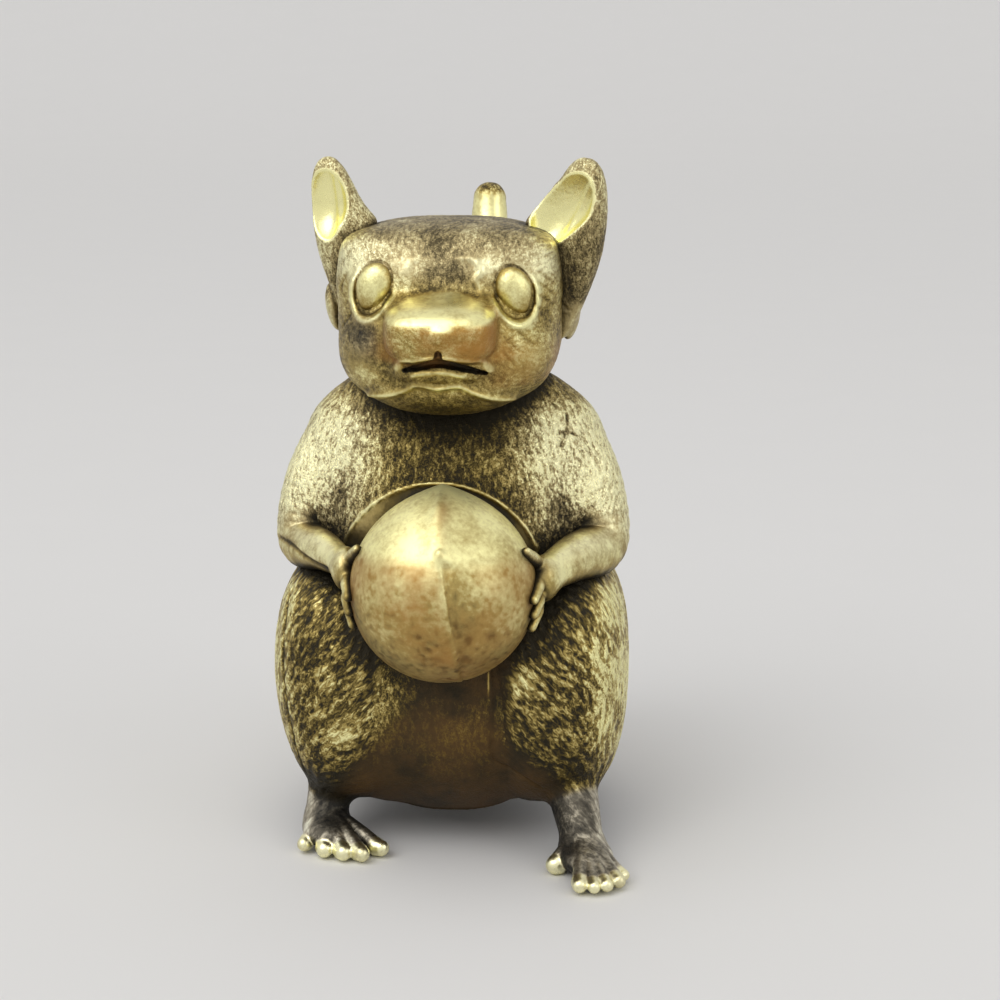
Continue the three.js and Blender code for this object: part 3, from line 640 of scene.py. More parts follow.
    def fingers(self, side):
        """Root, knuckle and tip of the thumb and each finger, laid over the fruit's side."""
        r = self.fruit_r + FINGER_LIFT
        made = []
        for row in FINGERS:
            rods = []
            for turn, rise in np.radians(row):
                out = r * math.cos(rise)
                around = spot(side * out * math.cos(turn), -out * 0.96 * math.sin(turn), r * math.sin(rise))
                rods.append(self.fruit_at + around)
            made.append(rods)
        return made

    def arm(self, p, side):
        points, radii = self.arm_paths[side]
        d = chain(p, points, radii)
        d = melt(d, ball(p, points[-1] + spot(0, -0.2, -0.3), PALM_HALF), PALM_FILLET)
        for row in self.fingers(side):
            d = melt(d, chain(p, row, FINGER_RADII), FINGER_FILLET)
        return d

    # Hind legs

    def haunch_at(self, side):
        return spot(side * (self.half_width - 4.4), -1.5, self.haunch_z)

    def ankle_at(self, side):
        x, y, _ = self.haunch_at(side) + spot(*ANKLES[side], 0)
        return spot(x, y, ANKLE_HEIGHT)

    def haunch(self, p, side, inset=0.0):
        """Distance to a haunch, which is narrower near the table."""
        taper, inner = 1 + HAUNCH_TAPER[side] * fade(15, 4, p[:, 2]), side * HAUNCH_INNER
        across = inner + (p[:, 0] - inner) * taper
        bent = np.column_stack((across, p[:, 1:]))
        return loaf(bent, self.haunch_at(side), self.haunch_half - inset, HAUNCH_POWER)

    def toes(self, side):
        """Root, joint, tip and end of each toe, and its radius."""
        at = self.ankle_at(side) * (1, 1, 0)
        made = []
        for x, y, radius in TOE_TIPS[side]:
            out = spot(x, y, 0)
            root, joint = at + out * 0.28 + spot(0, 0, 2.5), at + out * 0.72 + spot(0, 0, 1.5)
            tip = at + out + spot(0, 0, 0.8)
            made.append((root, joint, tip, tip + out * 0.09, radius))
        return made

    def leg(self, p, side):
        """Distance to the haunch, shank, instep and toes, cut flat at the table."""
        haunch, ankle = self.haunch_at(side), self.ankle_at(side)
        d = self.haunch(p, side)
        knee = haunch * 0.45 + ankle * 0.55
        d = melt(d, bone(p, knee, ankle + spot(0, 0, 1.0), *SHANK_RADII), SHANK_FILLET)
        a = math.radians(FOOT_TURNS[side])
        instep = ankle + spot(math.sin(a), -math.cos(a), 0) * INSTEP_AHEAD
        d = melt(d, ball(p, instep, INSTEP_HALF, turned(z=FOOT_TURNS[side])), SHANK_FILLET)
        for root, joint, tip, end, radius in self.toes(side):
            toe = chain(p, (root, joint, tip), (0.5, radius * 0.9, radius))
            toe = melt(toe, bone(p, tip, end, radius * 1.06, radius * 0.94), CLAW_FILLET)
            d = melt(d, toe, TOE_FILLET)
        return np.maximum(d, -p[:, 2])

    # Tail

    def tail_curve(self):
        """The tail's curve: out of the rump, round a bend on the table, and up behind the back."""
        rump = self.back(self.base + 4)

        def on_bend(angle):
            a = math.radians(angle)
            across, up = TAIL_BEND * math.cos(a), TAIL_BEND * math.sin(a)
            return spot(0, rump + 3 + across, TAIL_REST + TAIL_BEND + up)

        def behind(rise, side, away):
            return spot(side, self.back(self.base + rise) + 2.6 + away, self.base + rise)

        skull_back = self.skull_at[1] + 8.5
        tip = self.skull_at[2] + 9 - 1.35
        points = [
            spot(0, rump - 3.2, self.base + 4), on_bend(-125), on_bend(-90), on_bend(-50), on_bend(-10),
            behind(14, 0.5, 1.6), behind(22, 1, 0.5), behind(31, 1.5, 1.6),
            spot(2, skull_back + 5.2, tip - 9), spot(2, skull_back + 7.2, tip)]
        return smooth_path(points, TAIL_RADII, TAIL_STEPS)

    def along_tail(self, p):
        """How far along the tail each point lies."""
        path = self.tail_path[0]
        place = np.append(0, np.cumsum(np.linalg.norm(np.diff(path, axis=0), axis=1)))
        tangent = np.gradient(path, axis=0)
        tangent /= np.linalg.norm(tangent, axis=1, keepdims=True)
        near = np.argmin([np.linalg.norm(p - at, axis=1) for at in path], axis=0)
        return place[near] + np.einsum("ij,ij->i", p - path[near], tangent[near])

    def tail(self, p):
        return np.maximum(chain(p, *self.tail_path), -p[:, 2])

    # Fruit

    def fruit(self, p):
        """A ball drawn up to a point, a crest down to a knob, and a stepped seam below that."""
        q = (p - self.fruit_at) * spot(1, self.fruit_r / FRUIT_HALF_DEPTH, 1)
        out = np.maximum(np.linalg.norm(q, axis=1), 1e-4)
        belly = np.hypot(q[:, 0], q[:, 1]) / out
        tip = FRUIT_TIP * np.exp(-np.arccos(np.clip(q[:, 2] / out, -1, 1)) / FRUIT_TIP_ANGLE)
        aside = np.arctan2(q[:, 0] - self.fruit_seam(q[:, 2]), -q[:, 1])
        low = fade(4.0, 3.2, q[:, 2])
        crest = 0.26 * ridge_of(aside, 0.18) * fade(0, 0.4, belly) * (1 - low)
        flat = 0.14 * ridge_of(np.abs(aside) - 0.55, 0.32) * belly * (1 - low)
        step = 0.16 * fade(-0.3, 0.0, aside) * fade(0.03, 0.0, aside) * belly * low
        cleft = 0.14 * ridge_of(aside - 0.05, 0.05) * belly * low
        d = (out - self.fruit_r - tip - crest + flat - step + cleft) * 0.92
        return melt(d, ball(p, self.fruit_at + spot(*KNOB_AT), KNOB_HALF), KNOB_FILLET)

    def fruit_seam(self, z):
        """How far the fruit's seam lies aside at a height from its middle."""
        return np.clip(0.3 + 0.16 * (4.1 - z), 0, 1.6)

    # Head

    def on_head(self, aside, forward, drop):
        return self.skull_at + spot(aside, -forward, -drop)

    def eye_at(self, side):
        """Where an eye sits on the skull's front."""
        wide, deep, tall = SKULL_HALF
        aside = self.eye_apart / 2
        near = (aside / wide) ** SKULL_POWER + (self.eye_rise / tall) ** SKULL_POWER
        forward = deep * (1 - near) ** (1 / SKULL_POWER) - EYE_SUNK
        return self.on_head(side * self.eye_apart / 2, forward, -self.eye_rise + 0.12 * side)

    def eye_own(self, p, side):
        """Points in the eye's own frame: across, forward and up."""
        return (p - self.eye_at(side)) @ turned(y=-side * EYE_TILT, z=side * EYE_TURN)

    def eye(self, p, side):
        """Distance to an eye, an egg with its narrow end down."""
        q = self.eye_own(p, side)
        q[:, 0] *= 1 + 0.22 * fade(0.6, -2, q[:, 2])
        return ball(q, spot(0, 0, 0), EYE_HALF)

    def eye_marks(self, p, side):
        """The lid under the eye, the groove round it, and the brow over it, each from 0 to 1."""
        q = self.eye_own(p, side)
        front = fade(3.5, 2.0, np.abs(q[:, 1]))

        def ring(half, radius, width):
            out = np.hypot(q[:, 0] / half[0], q[:, 2] / half[1]) - 1
            return ridge_of(out * radius, width) * front

        brow = ridge_of(drawn(p, *[(side * x, z) for x, z in BROW_CURL]), 0.3)
        brow = brow * (p[:, 1] < -4) * (1.0 if side > 0 else 0.4)
        return ring(*EYELID) * fade(1.2, -0.6, q[:, 2]), ring(*EYE_GROOVE), brow

    def lips(self, p):
        """The edges of the upper and the lower lip, and the slit between them, each from 0 to 1."""
        front = fade(-9.5, -11, p[:, 1])
        upper = np.maximum(drawn(p, *UPPER_LIP, radii=UPPER_LIP_RADII), 0)
        slit = np.minimum(drawn(p, *MOUTH_SLIT, radii=MOUTH_RADII), drawn(p, *LIP_CLEFT, radii=CLEFT_RADII))
        edges = ridge_of(upper, 0.17) * front, ridge_of(drawn(p, *LOWER_LIP), 0.2) * front
        return *edges, fade(0.12, -0.06, slit) * front

    def cheek_strokes(self, p):
        """1 in the short strokes engraved in the cheeks, fading to 0 beside them."""
        line = np.min([drawn(p, *ends) for ends in CHEEK_STROKES], axis=0)
        return ridge_of(line, CHEEK_STROKE_WIDTH) * fade(-3, -5, p[:, 1])

    def chin_edge(self, p):
        """1 on the wavy edge of the chin, fading to 0 beside it."""
        return ridge_of(drawn(p, *CHIN_EDGE), 0.26) * fade(-4, -6, p[:, 1])

    def head(self, p):
        """Distance to the skull with its snout, cheeks, eyelids, nose, lips and chin."""
        d = loaf(p, self.skull_at, SKULL_HALF, SKULL_POWER)
        for place, half, power, tilt, fillet in SKULL_FORMS.values():
            d = melt(d, rounded(p, self.on_head(*place), half, power, tilt), fillet)
        low, high = (self.on_head(*end) for end in BRIDGE_ENDS)
        d = melt(d, bone(p, low, high, BRIDGE_RADIUS, BRIDGE_RADIUS), BRIDGE_FILLET)
        for place, half, power, tilt, fillet in SNOUT_FORMS.values():
            d = melt(d, rounded(p, self.on_head(*place), half, power, tilt), fillet)
        for side in SIDES.values():
            aside, forward, drop = CHEEK_AT
            d = melt(d, ball(p, self.on_head(side * aside, forward, drop), CHEEK_HALF), CHEEK_FILLET)
            lid, groove, brow = self.eye_marks(p, side)
            d = d - 0.38 * lid + 0.14 * groove - 0.16 * brow
        d = melt(d, ball(p, self.on_head(*NOSE_AT), NOSE_HALF), NOSE_FILLET)
        upper, lower, slit = self.lips(p)
        return d - 0.2 * upper - 0.15 * lower + 0.55 * slit - 0.35 * self.chin_edge(p)

    # Ears

    def ear_at(self, side):
        return self.on_head(EARS[side].aside, 0.8, -4.65)

    def ear_own(self, p, side):
        """Points in the ear's own frame: across, forward and up."""
        return (p - self.ear_at(side)) @ turned(y=side * self.ear_lean, z=EARS[side].turn)

    def ear_cup(self, q, side):
        """Distance to the hollow of an ear, which runs out over the ear's own right edge."""
        shape = EARS[side]
        low = 1 + 0.4 * fade(3.4, 0.2, q[:, 2])
        across = (q[:, 0] + shape.cup_aside - shape.cup_lean * (q[:, 2] - shape.cup_rise)) * low
        return ball(np.column_stack((across, q[:, 1:])), spot(0, -1.75, shape.cup_rise), shape.cup_half)

    def fold_line(self, q, side):
        """How far across from the fold in the hollow of an ear each point lies."""
        shape = EARS[side]
        return q[:, 0] - shape.fold_aside - shape.fold_lean * (q[:, 2] - 3.5)

    def ear_fold(self, q, side):
        """1 on the fold down the hollow of an ear, fading to 0 beside it."""
        shown = within(q[:, 2], 0, 2, 5, 6.6) * fade(0.6, 0.1, q[:, 1])
        return ridge_of(self.fold_line(q, side), 0.3) * shown

    def ear(self, p, side):
        """Distance to a leaf with a root, a hollow, a fold in it and a lobe."""
        shape = EARS[side]
        q = self.ear_own(p, side)
        narrow = (1 + 0.35 * fade(1, -7, q[:, 2])) * shape.narrow
        slim = np.column_stack(((q[:, 0] - shape.off) * narrow, q[:, 1] * narrow, q[:, 2]))
        leaf = loaf(slim, spot(0, 0, 0), EAR_HALF, EAR_POWER)
        root = bone(p, self.on_head(side * 8.7, 0.6, -9.3), self.on_head(side * 7.2, 0.6, -6.6), 0.6, 1.2)
        d = carve(melt(leaf, root, 0.8), self.ear_cup(q, side), 0.25) - 0.12 * self.ear_fold(q, side)
        lobe_at = self.on_head(side * 9.75, -0.4, shape.lobe_drop)
        return melt(d, ball(p, lobe_at, LOBE_HALF, turned(y=side * LOBE_LEAN)), 0.3)

    def everything(self, p):
        """Distance to the whole figure."""
        pairs = [both(form, p) for form in (self.arm, self.leg, self.ear)]
        return np.min([self.torso(p), self.head(p), self.fruit(p), self.tail(p), *pairs], axis=0)


class Hollows:
    """A coarse map of distances to the figure, to find how open each place is."""

    LOW, HIGH, STEP = spot(-22, -28, -5), spot(22, 28, 62), 0.8
    TABLE_CLEAR = 0.3

    # How far out of the surface the map is asked, and what each answer weighs.
    REACHES = {0.9: 0.3, 1.8: 0.3, 3.6: 0.25, 6.5: 0.15}

    def __init__(self, figure):
        axes = [np.arange(math.ceil(n)) for n in (self.HIGH - self.LOW) / self.STEP]
        at = np.stack(np.meshgrid(*axes, indexing="ij"), axis=-1)
        self.values = np.empty(at.shape[:3], dtype=np.float32)
        for i in range(len(axes[0])):
            points = (self.LOW + at[i].reshape(-1, 3) * self.STEP).astype(np.float32)
            d = np.minimum(figure.everything(points), points[:, 2] + self.TABLE_CLEAR)
            self.values[i] = d.reshape(at.shape[1:3])

    def distance(self, p):
        q = (p - self.LOW) / self.STEP
        q = np.clip(q, 0, np.array(self.values.shape) - 1.001)
        cell = np.floor(q).astype(int)
        f = q - cell
        total = np.zeros(len(p))
        for c in np.ndindex(2, 2, 2):
            weight = np.prod(np.where(c, f, 1 - f), axis=1)
            total += weight * self.values[tuple((cell + c).T)]
        return total

    def shade(self, p, n):
        """From 0 in the open to 1 deep in a hollow, where shade is painted along with patina."""
        total = 0
        for reach, weight in self.REACHES.items():
            total = total + weight * np.clip(1 - self.distance(p + n * reach) / reach, 0, 1)
        return total


SCULPT = {}
STUD_AHEAD = 0.4  # the fruit stud's middle ahead of the chest


def keys_of(group):
    """The names of a property group's own values, in order."""
    return [key for key in group.bl_rna.properties.keys() if key not in {"rna_type", "name"}]


def sculpt():
    """The figure, its hollows and its shift into the scene, worked out again only when a size changes."""
    scene = bpy.context.scene
    groups = (scene.mouse_body, scene.mouse_head)
    sizes = [getattr(group, key) for group in groups for key in keys_of(group)]
    if SCULPT.get("sizes") != sizes:
        figure = Figure(*groups)
        stud_low, stud_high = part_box("fruit_stud")
        x, _, z = figure.fruit_at
        shift = np.array((stud_low + stud_high) / 2) / MM - spot(x, figure.front(float(z)) - STUD_AHEAD, z)
        SCULPT.update(sizes=sizes, figure=figure, hollows=Hollows(figure), shift=shift)
    return SCULPT["figure"], SCULPT["hollows"], SCULPT["shift"]


def along_surface(way, normals):
    """A direction laid into the surface."""
    way = np.broadcast_to(np.asarray(way, dtype=np.float32), normals.shape)
    way = way - normals * np.einsum("ij,ij->i", way, normals)[:, None]
    return way / np.maximum(np.linalg.norm(way, axis=1, keepdims=True), 1e-4)


def piece(node, made, height, slot="antique_brass", material=None, **marks):
    """A mesh object in place of a node: a skin raised by a height, with the marks that the finish reads."""
    name = "brass_" + node.removesuffix("_casting")
    _, _, shift = sculpt()
    points, normals, quads = made
    points = (points + normals * height[:, None] + shift) * MM
    old = bpy.data.objects.get(name)
    if old:
        bpy.data.objects.remove(old)
    mesh = bpy.data.meshes.new(name)
    mesh.from_pydata(points.tolist(), [], quads.tolist())
    mesh.shade_smooth()
    for mark, values in marks.items():
        values = np.asarray(values, dtype=np.float32)
        if values.ndim == 2:
            mesh.attributes.new(mark, "FLOAT_VECTOR", "POINT").data.foreach_set("vector", values.ravel())
        else:
            mesh.attributes.new(mark, "FLOAT", "POINT").data.foreach_set("value", values)
    mesh.materials.append(material or antique_brass("body_brass", stain=0.6))
    obj = bpy.data.objects.new(name, mesh)
    bpy.context.scene.collection.objects.link(obj)
    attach(obj, "root")
    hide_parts(node)


def furred(points, normals, way, size, depth):
    """Height and mark of fur strokes along a way, at a size and a depth relative to the chest's."""
    surface = bpy.context.scene.mouse_surface
    lean = LUMP_GRAIN(points / 3.1)[:, None] * 1.2
    bent = way + np.cross(normals, way) * lean
    bent /= np.maximum(np.linalg.norm(bent, axis=1, keepdims=True), 1e-4)
    mark = strokes(points, bent, surface.fur_width / MM * size, surface.fur_length / MM * size)
    return (mark - 1) * surface.fur_depth / MM * depth, mark


def combed(points, way, size, stretch):
    """Points in widths of a hair, squeezed along a way, so that even noise on them makes hairs."""
    way = np.asarray(way, dtype=np.float32) / np.linalg.norm(way)
    hair = bpy.context.scene.mouse_surface.hair_width / MM * size
    return (points - np.outer(points @ way, way) * (1 - 1 / stretch)) / hair


def painted_top_and_underside(normals):
    """Painted shade on the undersides, and a painted sheen on the upper sides."""
    return 0.35 * fade(0.15, -0.7, normals[:, 2]), 0.15 * fade(0.1, 0.7, normals[:, 2])


def touching(distance, reach):
    """1 where another piece touches, fading over a reach."""
    return np.exp(-np.maximum(distance, 0) / reach)


# Shaders

class Wire:
    """A socket in a node tree, so that shader maths reads as plain maths."""

    def __init__(self, tree, socket=None):
        self.tree, self.socket = tree, socket

    def feed(self, target, value):
        if isinstance(value, Wire):
            self.tree.links.new(value.socket, target)
        elif hasattr(target.default_value, "__len__") and len(value) < len(target.default_value):
            target.default_value = (*value, 1.0)
        else:
            target.default_value = value

    def node(self, kind, settings=None, inputs=None, out=0):
        """A new node of a kind: its settings first, then its sockets, and one output as a wire."""
        made = self.tree.nodes.new(kind)
        for key, value in (settings or {}).items():
            if key == "stops":
                ramp = made.color_ramp
                while len(ramp.elements) < len(value):
                    ramp.elements.new(0.5)
                for element, (place, rgb) in zip(ramp.elements, value):
                    element.position, element.color = place, (*rgb, 1.0)
            else:
                setattr(made, key, value)
        for key, value in (inputs or {}).items():
            self.feed(made.inputs[key], value)
        return Wire(self.tree, made.outputs[out])

    def maths(self, operation, *values):
        return self.node("ShaderNodeMath", {"operation": operation}, dict(enumerate(values)))

    def __add__(self, other):
        return self.maths("ADD", self, other)

    def __sub__(self, other):
        return self.maths("SUBTRACT", self, other)

    def __mul__(self, other):
        return self.maths("MULTIPLY", self, other)

    def __rsub__(self, other):
        return self.maths("SUBTRACT", other, self)

    __radd__, __rmul__ = __add__, __mul__

    def held(self):
        """Kept between 0 and 1."""
        return self.node("ShaderNodeClamp", None, {"Value": self})

    def between(self, low, high):
        """0 at a low value to 1 at a high one."""
        settings = {"interpolation_type": "SMOOTHSTEP"}
        return self.node("ShaderNodeMapRange", settings, {"Value": self, "From Min": low, "From Max": high})

    def other(self, out):
        """Another output of the same node."""
        return Wire(self.tree, self.socket.node.outputs[out])

    def mark(self, name, out="Fac"):
        """A value that a piece's mesh carries."""
        return self.node("ShaderNodeAttribute", {"attribute_name": name}, out=out)

    def noise(self, where, scale, detail, roughness, distortion=0.0):
        inputs = {
            "Vector": where, "Scale": scale, "Detail": detail,
            "Roughness": roughness, "Distortion": distortion}
        return self.node("ShaderNodeTexNoise", None, inputs)

    def mixed(self, share_of, first, second):
        """One colour turning into another."""
        return self.node("ShaderNodeMix", {"data_type": "RGBA"}, {0: share_of, 6: first, 7: second}, out=2)


def new_material(name):
    """A material's first wire and its shader. A material that exists is wired again."""
    material = bpy.data.materials.get(name) or bpy.data.materials.new(name)
    material.use_nodes = True
    tree = material.node_tree
    tree.nodes.clear()
    shader = tree.nodes.new("ShaderNodeBsdfPrincipled")
    target = tree.nodes.new("ShaderNodeOutputMaterial")
    tree.links.new(shader.outputs["BSDF"], target.inputs["Surface"])
    return material, Wire(tree), shader


def antique_brass(name, stain, rough=0.55, metal=1.0):
    """Brass that is dark in the hollows and strokes, from patina and painted shade, golden between, and
    bright where it is rubbed or has a painted highlight.
    """
    tones = bpy.context.scene.mouse_finish
    material, start, shader = new_material(name)
    where = start.node("ShaderNodeTexCoord", out="Object")
    cloud = start.noise(where, scale=260.0, detail=4.0, roughness=0.6)
    speck = start.noise(where, scale=2600.0, detail=3.0, roughness=0.6)
    hair = start.noise(start.mark("comb", "Vector"), scale=1.0, detail=2.0, roughness=0.55, distortion=1.0)
    hair = hair.between(0.34, 0.66)
    stroke, recess, rub = start.mark("stroke"), start.mark("recess"), start.mark("rub")
    fur = stroke * 0.45 + hair * 0.5
    # Painted shade and patina darken the tone; wear and painted highlights raise it.
    lightness = fur * (1 - rub) + rub * 0.82 + (cloud - 0.5) * 0.7 + (speck - 0.5) * 0.35 - recess * 0.75 + 0.04
    lightness = lightness.held()
    stops = ((0.0, tones.patina_and_shade), (0.3, tones.shadow), (0.6, tones.brass), (0.9, tones.bright))
    paint = start.node("ShaderNodeValToRGB", {"stops": stops}, {"Fac": lightness}, out="Color")
    patch = start.noise(where, scale=150.0, detail=5.0, roughness=0.7)
    stained = (patch.between(0.3, 0.65) * start.mark("blush") * stain).held()
    paint = start.mixed(stained, paint, tones.copper)
    dulled = {"Saturation": 1 - start.mark("ash") * tones.dulling, "Color": paint}
    paint = start.node("ShaderNodeHueSaturation", None, dulled)
    start.feed(shader.inputs["Base Color"], paint)
    start.feed(shader.inputs["Metallic"], lightness.between(0.0, 0.25) * (metal - 0.7) + 0.7)
    start.feed(shader.inputs["Roughness"], (rough - lightness * 0.28 + (speck - 0.5) * 0.2).held())
    height = hair * (1 - rub) + speck * 0.3 + cloud * 0.3
    bump = start.node("ShaderNodeBump", None, {"Strength": 0.5, "Distance": 0.00012, "Height": height})
    start.feed(shader.inputs["Normal"], bump)
    return material


def plain_brass():
    """Hidden pins and plug: turned metal with faint wear."""
    tones = bpy.context.scene.mouse_finish
    material, start, shader = new_material("turned_brass")
    where = start.node("ShaderNodeTexCoord", out="Object")
    cloud = start.noise(where, scale=500.0, detail=5.0, roughness=0.5)
    paint = start.mixed(cloud.between(0.35, 0.7), tones.shadow, tones.brass)
    start.feed(shader.inputs["Base Color"], paint)
    start.feed(shader.inputs["Roughness"], 0.3 + cloud * 0.35)
    shader.inputs["Metallic"].default_value = 1.0
    return material


# Operators, one for each piece or group of like pieces. In each, one mark says how dark the metal is,
# from patina and painted shade, and one how bright, from wear and painted highlights; the comb runs
# the hairs, the blush stains it and the ash greys it.

class MOUSE_OT_torso(bpy.types.Operator):
    """Sculpt the furred torso"""

    bl_idname = "mouse.torso"
    bl_label = "Torso"

    def execute(self, context):
        figure, hollows, _ = sculpt()
        made = skin(figure.torso, *TORSO_BOX, context.scene.mouse_surface.facet / MM)
        points, normals, _ = made
        x, y, z = points.T
        way = along_surface(points[:, :1] * spot(0.03, 0, 0) + spot(0, 0, -1), normals)
        height, stroke = furred(points, normals, way, 1.0, 1.0)
        front, above = fade(0, -3, y), z - figure.fruit_at[2]
        out = np.hypot(x - RIM_AT[0], above - RIM_AT[1])
        shown = front * fade(0.5, 2.5, above)
        rim = ridge_of(out - RIM_RADIUS, RIM_WIDTH) * shown
        # The seat behind the fruit is smooth and rubbed, with painted shade.
        nest = fade(RIM_RADIUS + 0.1, RIM_RADIUS - 0.2, out) * shown
        seam, bright = ridge_of(figure.seam(points), SEAM_WIDTH), figure.bright_seam(points)
        lines = [ridge_of(drawn(points, *line), wide) for line, wide in SHOULDER_SCRATCHES.items()]
        scratch = np.max(lines, axis=0) * (y < 0)
        near = np.min([figure.fruit(points), figure.head(points), both(figure.arm, points)], axis=0)
        belly, pale = figure.shaded_belly(points), figure.pale_arm(points)
        # The upper chest under the head is darker: painted shade along with patina.
        chest = fade(9, 5, np.abs(x)) * fade(22, 26, z) * front
        underside_shade, top_sheen = painted_top_and_underside(normals)
        # Painted shade in the hollows along with patina, where the fruit, head and arms meet the torso, on
        # the undersides and on the belly under the fruit, and a painted shadow in a band near the table.
        recess = hollows.shade(points, normals) + 0.4 * touching(near, 0.7) * (1 - pale) + underside_shade
        recess += 0.8 * belly + 0.8 * fade(6.5, 3.5, z) + 0.5 * seam + 0.6 * figure.dark_elbow_patch(points)
        recess += 0.8 * scratch + 0.25 * chest + 0.3 * nest - 0.47 * pale
        recess *= 1 - np.maximum(0.9 * rim, 0.8 * bright)
        rub = np.clip(0.2 + top_sheen + 0.25 * belly + 0.9 * rim + 0.7 * bright - 0.15 * pale + nest, 0, 1)
        height = height * (1 - nest) * (1 - 0.8 * belly) + RIM_HEIGHT * rim - 0.2 * seam - 0.15 * scratch
        piece("torso_casting", made, height, stroke=stroke, recess=recess, rub=rub,
              comb=combed(points, (0, 0, 1), 0.8, 1.5), blush=0.3 * belly, ash=0.35 * pale)
        return {"FINISHED"}


class MOUSE_OT_head(bpy.types.Operator):
    """Sculpt the head with its face"""

    bl_idname = "mouse.head"
    bl_label = "Head"

    def execute(self, context):
        figure, hollows, _ = sculpt()
        made = skin(figure.head, *HEAD_BOX, FACETS["head"])
        points, normals, _ = made
        way = along_surface(points - figure.on_head(0, 14, 2), normals)
        height, stroke = furred(points, normals, way, 0.85, 0.5)
        q = points - figure.skull_at
        x, y, z = q.T

        # Regions of the face
        arch = 2.1 - 1.1 * (x / 3.7) ** 2
        muzzle = fade(5.4, 4.3, np.abs(x)) * fade(-7.4, -8.8, y)
        muzzle = muzzle * fade(-3.0, -2.2, z) * fade(0.3, -0.1, z - arch)
        # A painted highlight on the muzzle's upward faces, along with its wear.
        top = fade(0.15, 0.6, normals[:, 2]) * muzzle
        from_cheek = np.linalg.norm((np.abs(q) - spot(6.6, 8.6, 3.2)) / spot(2.2, 4, 1.8), axis=1)
        cheek = touching(from_cheek - 0.4, 0.5) * (y < 0)
        over_eyes, face = fade(-4, -6, y), fade(-3, -5, y)
        frown = blob(x, z, (0, 3.3), 1.9, 0.8) * over_eyes
        # A painted highlight at each temple.
        temple = blob(np.abs(x), z, (2.9, 3.9), 1.0, 1.0) * over_eyes
        grey = blob(x, z, (-6.4, -1.5), 1.5, 1.5) * face
        gold = blob(x, z, (-5.9, -4.2), 0.9, 0.9) * face
        # Painted highlights on the head's upper corners.
        corner = fade(5.6, 7.6, np.abs(x)) * fade(2.5, 4.5, z) * fade(0, -2, y)
        crown = fade(0.35, 0.8, normals[:, 2]) * (1 - muzzle)
        # Painted shade on the downward faces under the chin.
        under = fade(-5.3, -6.0, z) * fade(-0.1, -0.5, normals[:, 2])
        sides = fade(1.0, -1.5, z) * (1 - top)
        upper, lower, slit = figure.lips(points)
        chin, lips = figure.chin_edge(points), np.maximum(upper, lower)
        engraved = figure.cheek_strokes(points)

        # Tones
        near = np.minimum(figure.torso(points), both(figure.ear, points))
        # Painted shade in the hollows along with patina, and where the torso and ears meet the head.
        recess = 0.8 * hollows.shade(points, normals) + 0.3 * touching(near, 0.4) + 0.12 * under
        recess += 0.35 * frown + 0.2 * crown + 0.12 * sides + 0.08 * muzzle * (1 - top) + 0.1 * (1 - muzzle)
        recess += 0.4 * grey - 0.35 * gold - 0.3 * corner + 0.25 * engraved
        recess += 0.3 * LUMP_GRAIN(points / 1.7) * (1 - top)
        # The mouth's slit is painted dark as shade.
        recess = recess * (1 - 0.6 * np.maximum(chin, lips)) + 1.6 * slit
        rub = 0.5 + 0.1 * muzzle + 0.4 * top + 0.35 * temple + 0.3 * cheek + 0.7 * chin + 0.7 * lips
        for side in SIDES.values():
            lid, groove, brow = figure.eye_marks(points, side)
            recess = recess * (1 - 0.6 * lid) + 0.2 * groove - 0.12 * lid
            rub += 0.5 * lid + 0.3 * brow
        nose_front = within(z, -3.4, -2.6, 0.6, 1.8) * fade(-9, -12, y) * (1 - top)
        blush = nose_front + 0.5 * fade(2, 6, x) * within(z, -5.6, -4.8, -3, -1)
        piece("head_casting", made, height * (1 - muzzle) - 0.1 * engraved,
              material=antique_brass("face_brass", stain=0.9), stroke=stroke, recess=recess,
              rub=np.clip(rub, 0, 1), comb=combed(points, (0, 1, 0.4), 0.7, 1.4), blush=np.clip(blush, 0, 1),
              ash=(0.35 * fade(1.5, 4, z) + 0.5 * grey) * (1 - muzzle))
        return {"FINISHED"}


class MOUSE_OT_ears(bpy.types.Operator):
    """Sculpt the cupped ears"""

    bl_idname = "mouse.ears"
    bl_label = "Ears"

    def execute(self, context):
        figure, hollows, _ = sculpt()
        for name, side in SIDES.items():
            middle = figure.ear_at(side)
            low, high = middle - spot(*EAR_BELOW), middle + spot(*EAR_ABOVE)
            made = skin(lambda p: figure.ear(p, side), low, high, FACETS["ear"])
            points, normals, _ = made
            height, stroke = furred(points, normals, along_surface(spot(0, 0, 1), normals), 0.8, 0.6)
            q = figure.ear_own(points, side)
            cup = fade(0.25, 0.02, figure.ear_cup(q, side))
            beside_fold = ridge_of(figure.fold_line(q, side) + 0.4, 0.2)
            lobe = fade(-3.2, -4.4, q[:, 2]) * (normals[:, 1] < 0.2)
            outer = fade(0.3, 1.4, q[:, 0]) * fade(5, 2, q[:, 2]) if side > 0 else 0.5 * fade(1, -3, q[:, 2])
            # Painted shade in the hollows along with patina, and where the head meets the ear.
            recess = 0.5 * hollows.shade(points, normals) + 0.1 * touching(figure.head(points), 0.3)
            recess += 0.3 * outer - 0.12
            recess = recess * (1 - cup) - EARS[side].cup_polish * cup + 0.3 * cup * beside_fold
            rub = np.clip(0.3 + cup + 0.5 * lobe, 0, 1)
            piece(f"{name}_ear", made, height * (1 - rub), stroke=stroke * 0.7, recess=recess, rub=rub,
                  comb=combed(points, (0, 0, 1), 0.65, 1.5), ash=0.3 * (1 - cup))
        return {"FINISHED"}


